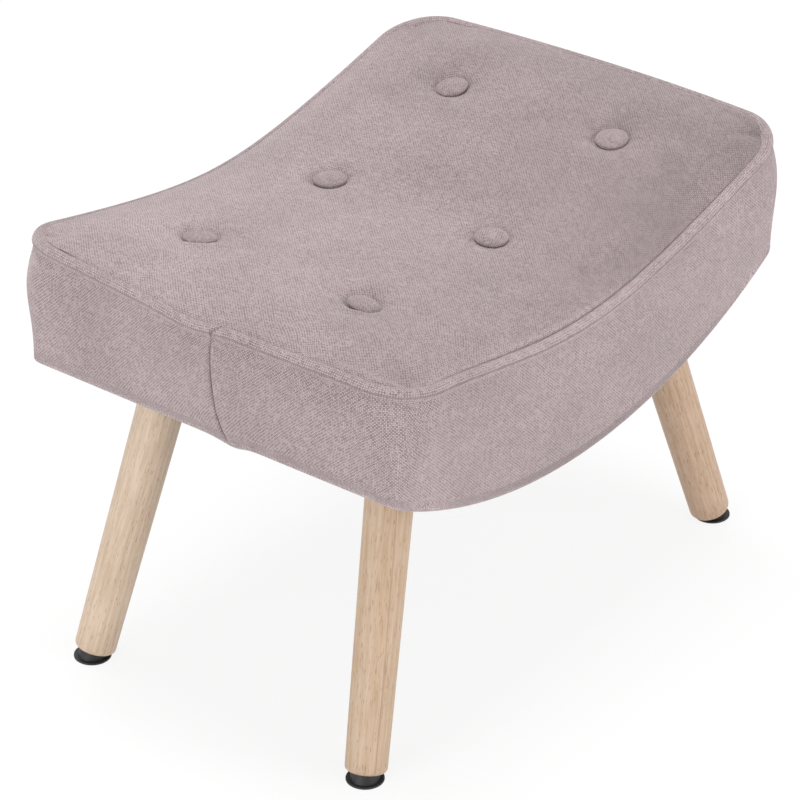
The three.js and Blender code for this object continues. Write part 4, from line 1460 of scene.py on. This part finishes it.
    def leaned(self, sheet: np.ndarray) -> np.ndarray:
        """Leans the joint at the left end, as it was sewn.

        Args:
            sheet: The band's points, row by row.

        Returns:
            The points with those near the joint moved along the end.
        """
        x, y, z = sheet[..., 0], sheet[..., 1], sheet[..., 2]
        low, high = self.curves.underside(x), self.curves.edge(x, y)
        down = np.clip((high - z) / (high - low), 0, 1)
        on_left = smooth_step((-x - 225) / 25)
        moved = self.seam_draw * down - self.seam_shift - self.seam_lean * down ** 9
        moved = (moved - self.seam_curl * (1 - down) ** 12) * on_left
        at_foot = smooth_step((down - 0.8) / 0.2)
        sag = self.seam_sag * on_left * hill(y, self.seam_sag_width) * at_foot
        leaned_y = y + moved * np.clip(1 - np.abs(y) / self.seam_follow, 0, 1)
        follow = (self.curves.edge(x, leaned_y) - high) * (1 - down)
        return np.stack([x, leaned_y, z - sag + follow], -1)


@dataclass
class CoveredButtons:
    """Six buttons covered in the seat's cloth.

    Attributes:
        curves: The seat's curves.
        radius: Of a button.
        height: From its back to its crown.
        edge: Height of its widest part.
        lift: Above the floor of the tuft.
        bore: Radius of the hole for the twine.
        bore_depth: Depth of that hole.
        lean: How far the button leans that is drawn down most crooked.
        painted_near_shade: How much darker the cloth is painted on the front left side than on the
            crown, as painted shade.
    """

    curves: SeatCurves
    radius: float = 14.5
    height: float = 6.5
    edge: float = 2.4
    lift: float = 0.3
    bore: float = 2.6
    bore_depth: float = 2.8
    lean: float = 0.2
    painted_near_shade: float = 0.1

    def build(self) -> list[Object]:
        """Makes the six buttons."""
        cloth = SEAT_CLOTH.material()
        return [self.button(tuft, number, cloth) for number, tuft in enumerate(self.curves.tufts())]

    def profile(self) -> list[tuple[float, float]]:
        """Draws the button's half section.

        Returns:
            Radius and height of its points, from the bottom of its bore round to its crown.
        """
        steps, flat = 7, self.radius - self.edge
        back = [(0.0, self.bore_depth), (self.bore, self.bore_depth), (self.bore, 0.0),
                (flat - 0.6, 0.0)]
        under = [(flat + self.edge * math.sin(a), self.edge * (1 - math.cos(a)))
                 for a in np.linspace(0.25, math.pi / 2, steps)]
        dome = [(self.radius * math.cos(a) ** 0.85,
                 self.edge + (self.height - self.edge) * math.sin(a) ** 0.9)
                for a in np.linspace(0.12, math.pi / 2 - 0.1, 2 * steps)]
        return back + under + dome + [(0.0, self.height)]

    def button(self, tuft: Tuft, number: int, cloth: Material) -> Object:
        """Makes one button.

        Args:
            tuft: Where it sits.
            number: Picks how its cloth lies.
            cloth: Its material.

        Returns:
            The piece.
        """
        points, faces = lathe(self.profile(), 56)
        bearing = np.arctan2(points[:, 1], points[:, 0])
        reach = np.hypot(points[:, 0], points[:, 1])
        rim = smooth_step((reach - 9) / 5)
        gather = 1 + 0.006 * rim * np.sin(11 * bearing + number) * (points[:, 2] > 1)
        points[:, :2] *= gather[:, None]
        angle = 0.35 * number
        turn = np.array([[math.cos(angle), -math.sin(angle)], [math.sin(angle), math.cos(angle)]])
        drop = (self.height - points[:, 2]) * rim
        cut = points[:, :2] * (1 + drop / np.maximum(reach, 1))[:, None]
        crooked = {"front_left": 1.0, "back_right": -0.4}.get(tuft.name, 0.0)
        lean = self.lean * crooked * Vector((0.6, -0.8, 0.0))
        outward = (tuft.outward() + lean).normalized()
        foot = Vector((tuft.x, tuft.y, tuft.z)) + outward * self.lift
        standing = stand_along(points, foot, outward)
        piece = mesh_piece(f"covered_button_{tuft.name}", standing, faces, cloth)
        map_cloth(piece, cut @ turn.T + np.array([tuft.x, tuft.y]))
        # Painted shade: the front left side is painted darker, the back right side lighter, and the
        # whole button a little darker.
        mark_painted_shading(piece, 0.6 * self.painted_near_shade * (points[:, 0] + points[:, 1]) / self.radius - 0.06)
        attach(piece, BODY)
        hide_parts(f"button_{tuft.name}")
        return piece


# --- Filling and underside ---


@dataclass
class Filling:
    """The foam block and the wadding wrapped over it, with softened edges.

    Attributes:
        curves: The seat's curves.
        foam_round: Radius of the foam's edges.
        wadding_round: Radius of the wadding's edges.
    """

    curves: SeatCurves
    foam_round: float = 2.0
    wadding_round: float = 0.8

    def build(self, cad: dict) -> list[Object]:
        """Makes both layers.

        Args:
            cad: The frame's nodes by name.

        Returns:
            The two pieces.
        """
        return [
            self.softened(cad["seat_foam"], "softened_foam_block", FOAM,
                          self.foam_round),
            self.softened(cad["wadding"], "softened_wadding_wrap", WADDING,
                          self.wadding_round),
        ]

    def softened(self, node: Object, name: str, finish: SpeckledFinish,
                 rounding: float) -> Object:
        """Copies a layer's solid, merges its corners and rounds its edges.

        Args:
            node: The layer's CAD node.
            name: The piece's name.
            finish: Its finish.
            rounding: The radius of its edges.

        Returns:
            The piece.
        """
        merged = self.merged_copy(node, name, finish.material())
        bevel = merged.modifiers.new("soft_edges", "BEVEL")
        bevel.width = rounding * MM
        bevel.segments = 2
        bevel.limit_method = "ANGLE"
        bevel.angle_limit = SHARP_ANGLE
        bevel.use_clamp_overlap = True
        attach(merged, BODY)
        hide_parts(node.name)
        return merged

    def merged_copy(self, node: Object, name: str, material: Material) -> Object:
        """Copies a CAD node's mesh as a new piece whose loose triangles are joined.

        Args:
            node: The CAD node.
            name: The piece's name.
            material: The piece's finish.

        Returns:
            The piece, which follows the sewn lift of the seat towards its top.
        """
        rounded = np.round(corners_of(node.data) / MM, 3)
        points, place = np.unique(rounded, axis=0, return_inverse=True)
        place = place.ravel()
        x, y, z = points.T
        low, high = self.curves.underside(x), self.curves.piping(x)
        points[:, 2] += self.curves.sewn_lift(x, y) * np.clip((z - low) / (high - low), 0, 1)
        faces = [tuple(dict.fromkeys(int(place[i]) for i in polygon.vertices))
                 for polygon in node.data.polygons]
        whole = [face for face in faces if len(face) == 3]
        return mesh_piece(name, points, whole, material, smooth=False)


@dataclass
class DustCover:
    """The black cloth under the frame, cut out round the legs, with its row of staples.

    Attributes:
        curves: The seat's curves.
        inset: From the lower outline.
        drop: Below the underside's arc.
        thickness: Of the cloth.
        sag: At the middle of the seat.
        held: The width round the edge that doesn't sag.
        grid: How many lines each way the cloth has.
        hole_radius: Round a leg.
        staple_inset: From the lower outline to the row of staples.
        staple_pitch: Between staples.
        staple_width: Across a staple's crown.
        staple_wire: Width of its wire.
        staple_high: Height of its ends, in metres.
        staple_low: Height that pulls its middle down, in metres.
    """

    curves: SeatCurves
    inset: float = 9.0
    drop: float = 0.3
    thickness: float = 0.8
    sag: float = 2.5
    held: float = 40.0
    grid: tuple[int, int] = (140, 106)
    hole_radius: float = 22.2
    staple_inset: float = 15.5
    staple_pitch: float = 24.0
    staple_width: float = 9.6
    staple_wire: float = 1.1
    staple_high: float = 0.0007
    staple_low: float = -0.0005

    def build(self, legs: "WoodenLegs") -> list[Object]:
        """Makes the cloth, which the legs pass through, and its staples."""
        return [self.cloth(legs), self.staples()]

    def height(self, x: np.ndarray, y: np.ndarray) -> np.ndarray:
        """Follows the cloth's lower face.

        Args:
            x: X of the places.
            y: Y of the places.

        Returns:
            The height.
        """
        lower = self.curves.lower
        free = np.clip(1 - (x / (lower.half_length - self.held)) ** 2, 0, 1) * np.clip(
            1 - (y / (lower.half_width - self.held)) ** 2, 0, 1)
        quilt = 0.35 * soft_noise(x, y, 60, 21) * free ** 0.5
        return self.curves.underside(x) - self.drop - self.thickness - self.sag * free + quilt

    def cloth(self, legs: "WoodenLegs") -> Object:
        """Makes the cloth with a hole round each leg.

        Args:
            legs: The legs.

        Returns:
            The piece.
        """
        top = self.curves.top
        lines = np.meshgrid(*(np.linspace(-half, half, count) for half, count in zip(
            (top.half_length, top.half_width), self.grid)), indexing="ij")
        x, y = self.curves.place(*lines, self.curves.lower, self.inset)
        points = np.stack([x, y, self.height(x, y)], -1).reshape(-1, 3)
        inside = np.zeros(len(points), bool)
        snap_reach = 1.6
        for leg in legs.places():
            axis, away = np.array(leg.axis), points - np.array(leg.foot)
            away = away - np.outer(away @ axis, axis)
            distance = np.linalg.norm(away, axis=1)
            inside |= distance < self.hole_radius - snap_reach
            snap = distance < self.hole_radius + snap_reach
            ease = self.hole_radius / np.maximum(distance, 1e-6)
            points[snap] += (away * (ease - 1)[:, None])[snap]
        faces = [face[::-1] for face in grid_faces(*self.grid)
                 if not any(inside[i] for i in face)]
        used = np.unique(np.array(faces))
        renumber = np.full(len(points), -1)
        renumber[used] = np.arange(len(used))
        faces = [tuple(int(renumber[i]) for i in face) for face in faces]
        piece = mesh_piece("stapled_dust_cover", points[used], faces, DUST_CLOTH.material())
        thicken(piece, self.thickness)
        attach(piece, BODY)
        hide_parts("dust_cover")
        return piece

    def staples(self) -> Object:
        """Makes the row of staples round the cloth's edge.

        Returns:
            The piece.
        """
        x, y = self.curves.place(*self.curves.outline(4.0), self.curves.lower, self.staple_inset)
        path = np.stack([x, y, self.height(x, y) - 0.25], -1)
        piece = swept("dust_cover_staples", path, self.nodes(), {
            "Pitch": self.staple_pitch * MM, "Width": self.staple_width * MM,
            "Wire": self.staple_wire * MM, "Seed": 4, "Steel": STAPLE_WIRE.material()})
        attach(piece, BODY)
        return piece

    def nodes(self) -> Nodes:
        """Sets a bent wire staple at each step of a closed line, each a little askew.

        Returns:
            The nodes of the tree.
        """
        nodes, given = new_geometry_tree("row_of_staples", {
            "Pitch": "Float", "Width": "Float", "Wire": "Float", "Seed": "Int",
            "Steel": "Material"})
        even = nodes.evenly(given["Geometry"], given["Pitch"])
        half = nodes.math("MULTIPLY", given["Width"], 0.5)
        back = nodes.math("MULTIPLY", half, -1.0)
        ends = {name: nodes.joined(X=side, Z=level) for name, side, level in (
            ("Start", back, self.staple_high), ("Start Handle", back, self.staple_low),
            ("End Handle", half, self.staple_low), ("End", half, self.staple_high))}
        bent = nodes.add("GeometryNodeCurvePrimitiveBezierSegment", {"Resolution": 8} | ends,
                         mode="POSITION")
        section = nodes.add("GeometryNodeCurvePrimitiveQuadrilateral", {
            "Width": given["Wire"], "Height": nodes.math("MULTIPLY", given["Wire"], 0.5)},
            mode="RECTANGLE")
        staple = nodes.add("GeometryNodeCurveToMesh", {
            "Curve": bent, "Profile Curve": section, "Fill Caps": True})
        along = nodes.add("FunctionNodeAlignRotationToVector", {
            "Vector": nodes.add("GeometryNodeInputTangent")}, axis="X", pivot_axis="AUTO")
        spots = nodes.add("GeometryNodeInstanceOnPoints", {
            "Points": even, "Instance": staple, "Rotation": along})
        skew = nodes.add("FunctionNodeRandomValue", {
            0: (0.0, 0.0, -0.16), 1: (0.0, 0.0, 0.16), "Seed": given["Seed"]},
            data_type="FLOAT_VECTOR")
        askew = nodes.add("GeometryNodeRotateInstances", {"Instances": spots, "Rotation": skew})
        nodes.hand_out(askew, given["Steel"])
        return nodes


# --- Legs and glides ---


@dataclass(frozen=True)
class LegPlace:
    """Where one leg stands: its name, its place on the floor and the direction up its axis."""

    name: str
    foot: Vector
    axis: Vector


@dataclass
class WoodenLegs:
    """Four round tapered legs, splayed both ways, each on its flat black glide, whose black is
    partly painted contact shadow.

    Attributes:
        floor_x: The leg's axis on the floor, along the seat.
        floor_y: The same across the seat.
        splay_x: Tangent of the lean along the seat.
        splay_y: Tangent of the lean across the seat.
        top_radius: Of a leg at its top.
        foot_radius: Of a leg at its foot.
        foot_round: Rounding of the foot's edge.
        top_chamfer: At the top's edge.
        spigot_bore: Radius and depth of the glide's hole.
        bolt_bore: Radius and depth of the bolt's hole.
        glide_radius: Of the glide's disc.
        glide_thickness: Of the glide's disc.
        glide_round: Rounding of the disc's upper edge.
        hub_radius: Of the wedge between disc and foot.
        spigot: Radius and length of the glide's spigot.
    """

    floor_x: float = 257.48
    floor_y: float = 149.97
    splay_x: float = 0.30154
    splay_y: float = 0.11924
    top_radius: float = 21.0
    foot_radius: float = 18.2
    foot_round: float = 4.5
    top_chamfer: float = 1.0
    spigot_bore: tuple[float, float] = (7.39, 9.3)
    bolt_bore: tuple[float, float] = (4.45, 38.3)
    glide_radius: float = 16.5
    glide_thickness: float = 1.8
    glide_round: float = 0.7
    hub_radius: float = 12.9
    spigot: tuple[float, float] = (7.0, 9.0)

    @property
    def wood_tints_and_painted_shade(self) -> dict[str, dict]:
        # The front right leg's darker colours are partly painted shade.
        """What sets the wood of single legs apart from the others: a dark streak on the front left
        one, paler wood on the back left one, and darker wood on the front right one, partly its own
        redder colour and partly painted shade.
        """
        return {"front_left": {"streak": 0.4},
                "back_left": {"light": "#D4BFAA", "dark": "#B9A086", "pore": "#8F745A"},
                "front_right": {"light": "#C3A891", "dark": "#A8886B", "pore": "#7F5F45"}}

    def places(self) -> list[LegPlace]:
        """Places the four legs.

        Returns:
            The places.
        """
        found = []
        for column in (Column.LEFT, Column.RIGHT):
            for row in Row:
                foot = Vector((column.side * self.floor_x, row.side * self.floor_y, 0))
                axis = Vector((-column.side * self.splay_x, -row.side * self.splay_y, 1))
                found.append(LegPlace(f"{row.label}_{column.label}", foot, axis.normalized()))
        return found

    def build(self, cad: dict) -> list[Object]:
        """Makes the legs and glides.

        Args:
            cad: The frame's nodes by name.

        Returns:
            The eight pieces.
        """
        plastic, pieces = BLACK_PLASTIC_AND_CONTACT_SHADOW.material(), []
        for number, place in enumerate(self.places()):
            wood = TurnedBeech(f"turned_beech_{place.name}", 0.37 * (number + 1),
                               **self.wood_tints_and_painted_shade.get(place.name, {}))
            corners = cad[f"leg_{place.name}"].data.vertices
            heights = [(corner.co / MM - place.foot).dot(place.axis) for corner in corners]
            low, high = min(heights), max(heights)
            pieces.append(self.leg(place, low, high, wood.material()))
            pieces.append(self.glide(place, low, plastic))
        return pieces

    def leg(self, place: LegPlace, low: float, high: float, wood: Material) -> Object:
        """Makes one leg.

        Args:
            place: Where it stands.
            low: Distance up its axis to its foot, in millimetres.
            high: Distance up its axis to its top.
            wood: Its material.

        Returns:
            The piece.
        """
        length = high - low
        foot = [(self.foot_radius - self.foot_round + self.foot_round * math.sin(a),
                 self.foot_round * (1 - math.cos(a))) for a in np.linspace(0, math.pi / 2, 9)]
        shaft = [(self.foot_radius + (self.top_radius - self.foot_radius) * share,
                  self.foot_round + (length - self.top_chamfer - self.foot_round) * share)
                 for share in np.linspace(0, 1, 13)[1:]]
        (bore, bore_depth), (bolt, bolt_depth) = self.spigot_bore, self.bolt_bore
        profile = ([(0.0, bore_depth), (bore, bore_depth), (bore, 0.0)] + foot + shaft
                   + [(self.top_radius - self.top_chamfer, length), (bolt, length),
                      (bolt, length - bolt_depth), (0.0, length - bolt_depth)])
        points, faces = lathe(profile, 64)
        standing = stand_along(points, place.foot + place.axis * low, place.axis)
        piece = mesh_piece(f"turned_leg_{place.name}", standing, faces, wood)
        mark(piece, "in_leg", points * MM)
        piece.data.set_sharp_from_angle(angle=SHARP_ANGLE)
        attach(piece, BODY)
        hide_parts(f"leg_{place.name}")
        return piece

    def glide(self, place: LegPlace, low: float, plastic: Material) -> Object:
        """Makes one glide: a disc on the floor, a wedge to the slanted foot and a spigot in it.

        Args:
            place: Where the leg stands.
            low: Distance up the leg's axis to its foot, in millimetres.
            plastic: Its material, near black: partly the plastic's own colour, partly painted
                contact shadow under the foot.

        Returns:
            The piece.
        """
        rounding, stem_sides = self.glide_round, 40
        rim = [(self.glide_radius - rounding + rounding * math.sin(a),
                self.glide_thickness - rounding + rounding * math.cos(a))
               for a in np.linspace(math.pi / 2, 0, 5)]
        below = [(0.0, 0.0), (self.glide_radius - 0.4, 0.0), (self.glide_radius, 0.4)]
        disc, disc_faces = lathe(below + rim + [(0.0, self.glide_thickness)], 56)
        disc = disc + np.array(place.foot)
        radius, length = self.spigot
        hub_top = low - 0.3
        stem, stem_faces = lathe([
            (0.0, 0.0), (self.hub_radius, 0.0), (self.hub_radius, hub_top), (radius, hub_top),
            (radius, low + length), (0.0, low + length)], stem_sides)
        stem = stand_along(stem, place.foot, place.axis)
        at_foot = np.arange(len(stem)) <= stem_sides
        slide = (self.glide_thickness / 2 - stem[:, 2]) / place.axis.z
        stem[at_foot] += (slide[:, None] * np.array(place.axis))[at_foot]
        faces = disc_faces + [tuple(i + len(disc) for i in face) for face in stem_faces]
        piece = mesh_piece(f"moulded_glide_{place.name}", np.concatenate([disc, stem]), faces,
                           plastic)
        piece.data.set_sharp_from_angle(angle=SHARP_ANGLE)
        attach(piece, BODY)
        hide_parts(f"foot_glide_{place.name}")
        return piece


# --- Carried-over pieces of the frame ---


@dataclass(frozen=True)
class InnerFrame:
    """The rails, deck, blocks, bolts, nuts, washers and twines, which keep their CAD shapes."""

    birch: tuple[str, str] = ("#DCC29A", "#B08C5E")
    beech: tuple[str, str] = ("#D9BC98", "#B28E68")

    def build(self, cad: dict) -> None:
        """Gives each carried-over node its finish.

        Args:
            cad: The frame's nodes by name.
        """
        finishes = {
            "side_rail": SawnBoard("birch_ply_side_rail", GrainRun.ALONG_X, *self.birch, 1.4, 1),
            "end_rail": SawnBoard("birch_ply_end_rail", GrainRun.ALONG_Y, *self.birch, 1.4, 0),
            "seat_deck": SawnBoard("birch_ply_deck", GrainRun.ALONG_X, *self.birch, 1.3, 2),
            "leg_rail": SawnBoard("planed_beech_leg_rail", GrainRun.ALONG_Y, *self.beech),
            "corner_block": SawnBoard("sawn_beech_corner_block", GrainRun.ALONG_Z, *self.beech),
            "hanger_bolt": ZINC_STEEL,
            "tee_nut": ZINC_STEEL,
            "twine_washer": ZINC_STEEL,
            "tufting_twine": TWINE,
        }
        made = {finish: finish.material() for finish in dict.fromkeys(finishes.values())}
        for start, finish in finishes.items():
            named = [node for name, node in cad.items() if name.startswith(start)]
            for slot in [slot for node in named for slot in node.material_slots]:
                slot.material = made[finish]
            log.info("%s: %d pieces in %s", start, len(named), finish.name)


# --- Studio ---


@dataclass
class Studio:
    """The pale floor, the soft light and the camera.

    Attributes:
        azimuth: The camera's bearing in degrees, nought looking along +Y.
        elevation: The camera's height angle in degrees.
        roll: The camera's roll in degrees.
        distance: From the target, in metres.
        target_height: Of the target over the floor's middle, in metres.
        focal: Focal length in the picture's pixels.
        centre: The picture point on the optical axis.
        picture: The picture's width and height in pixels.
        floor_reach: Half the floor's width, in millimetres.
        floor_glow: How much of the floor that the camera sees is plain white.
        sky: How strongly the sky lights the object.
    """

    azimuth: float = -52.65
    elevation: float = 31.22
    roll: float = 0.04
    distance: float = 4.0
    target_height: float = 0.197
    focal: float = 4604.46
    centre: tuple[float, float] = (409.66, 393.71)
    picture: float = 800.0
    floor_reach: float = 15000.0
    floor_glow: float = 0.86
    sky: float = 0.5

    def build(self) -> None:
        """Makes the studio."""
        self.floor()
        self.world()
        self.lamps()
        self.camera()

    def floor(self) -> None:
        """Makes the floor, which the camera sees near white with the object's soft shadow on it."""
        material, nodes = new_material("matt_white_floor")
        paint = nodes.dyed(nodes.noise(nodes.place(), 3.0, 1.0), "#F7F7F7", "#FAFAFA")
        matt = nodes.add("ShaderNodeBsdfDiffuse", {"Color": paint})
        white = nodes.add("ShaderNodeEmission", {"Color": WHITE, "Strength": 1.0})
        share = nodes.math("MULTIPLY", nodes.seen(), self.floor_glow)
        mixed = nodes.add("ShaderNodeMixShader", {0: share, 1: matt, 2: white})
        nodes.finish("ShaderNodeOutputMaterial", "Surface", mixed)
        sides = ((-1, -1, 0), (1, -1, 0), (1, 1, 0), (-1, 1, 0))
        corners = np.array(sides) * self.floor_reach
        mesh_piece("floor", corners, [(0, 1, 2, 3)], material)

    def world(self) -> None:
        """Makes the even sky, which the camera sees white."""
        world = bpy.data.worlds.new("soft_studio")
        bpy.context.scene.world = world
        world.use_nodes = True
        world.node_tree.nodes.clear()
        nodes = Nodes(world.node_tree)
        strength = nodes.blend(nodes.seen(), self.sky, 1.0)
        sky = nodes.add("ShaderNodeBackground", {"Color": WHITE, "Strength": strength})
        nodes.finish("ShaderNodeOutputWorld", "Surface", sky)

    def lamps(self) -> None:
        """Hangs the long soft box above, and stands one before the left end and one in front."""
        for name, place, width, depth, power in (
                ("soft_box_above", (0.3, 0.6, 6.0), 1.4, 4.0, 255.0),
                ("soft_box_left", (-4.37, 0.5, 1.3), 3.0, 2.0, 88.0),
                ("soft_box_front", (0.9, -4.35, 1.3), 3.0, 2.0, 96.0)):
            light = bpy.data.lights.new(name, "AREA")
            light.shape = "RECTANGLE"
            light.size, light.size_y, light.energy = width, depth, power
            aim = (Vector((0, 0, 0.3)) - Vector(place)).to_track_quat("-Z", "Y")
            linked(name, light).matrix_world = Matrix.Translation(place) @ aim.to_matrix().to_4x4()

    def camera(self) -> None:
        """Sets the camera where the photograph was taken from."""
        azimuth, elevation = math.radians(self.azimuth), math.radians(self.elevation)
        back = Vector((math.sin(azimuth) * math.cos(elevation),
                       -math.cos(azimuth) * math.cos(elevation), math.sin(elevation)))
        right = Vector((math.cos(azimuth), math.sin(azimuth), 0))
        up = back.cross(right)
        roll = math.radians(self.roll)
        turned = right * math.cos(roll) + up * math.sin(roll)
        risen = up * math.cos(roll) - right * math.sin(roll)
        place = Vector((0, 0, self.target_height)) + back * self.distance
        data = bpy.data.cameras.new("camera")
        data.sensor_width = 36.0
        data.lens = data.sensor_width * self.focal / self.picture
        data.shift_x = -(self.centre[0] - self.picture / 2) / self.picture
        data.shift_y = (self.centre[1] - self.picture / 2) / self.picture
        data.clip_end = 100.0
        camera = linked("camera", data)
        turn = Matrix((turned, risen, back)).transposed().to_4x4()
        camera.matrix_world = Matrix.Translation(place) @ turn
        bpy.context.scene.camera = camera


def main() -> None:
    """Dresses the frame and sets up its picture."""
    logging.basicConfig(level=logging.INFO, format="%(name)s: %(message)s")
    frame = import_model()
    bpy.context.scene.view_settings.view_transform = "Standard"
    curves = SeatCurves()
    Studio().build()
    legs = WoodenLegs()
    pieces = [TopPanel(curves).build(), Piping(curves).build()]
    pieces += Boxing(curves).build()
    pieces += CoveredButtons(curves).build()
    pieces += Filling(curves).build(frame["nodes"])
    pieces += DustCover(curves).build(legs)
    pieces += legs.build(frame["nodes"])
    InnerFrame().build(frame["nodes"])
    for piece in pieces:
        log.info("%s: %d faces", piece.name, len(piece.data.polygons))


if __name__ == "__main__":
    main()
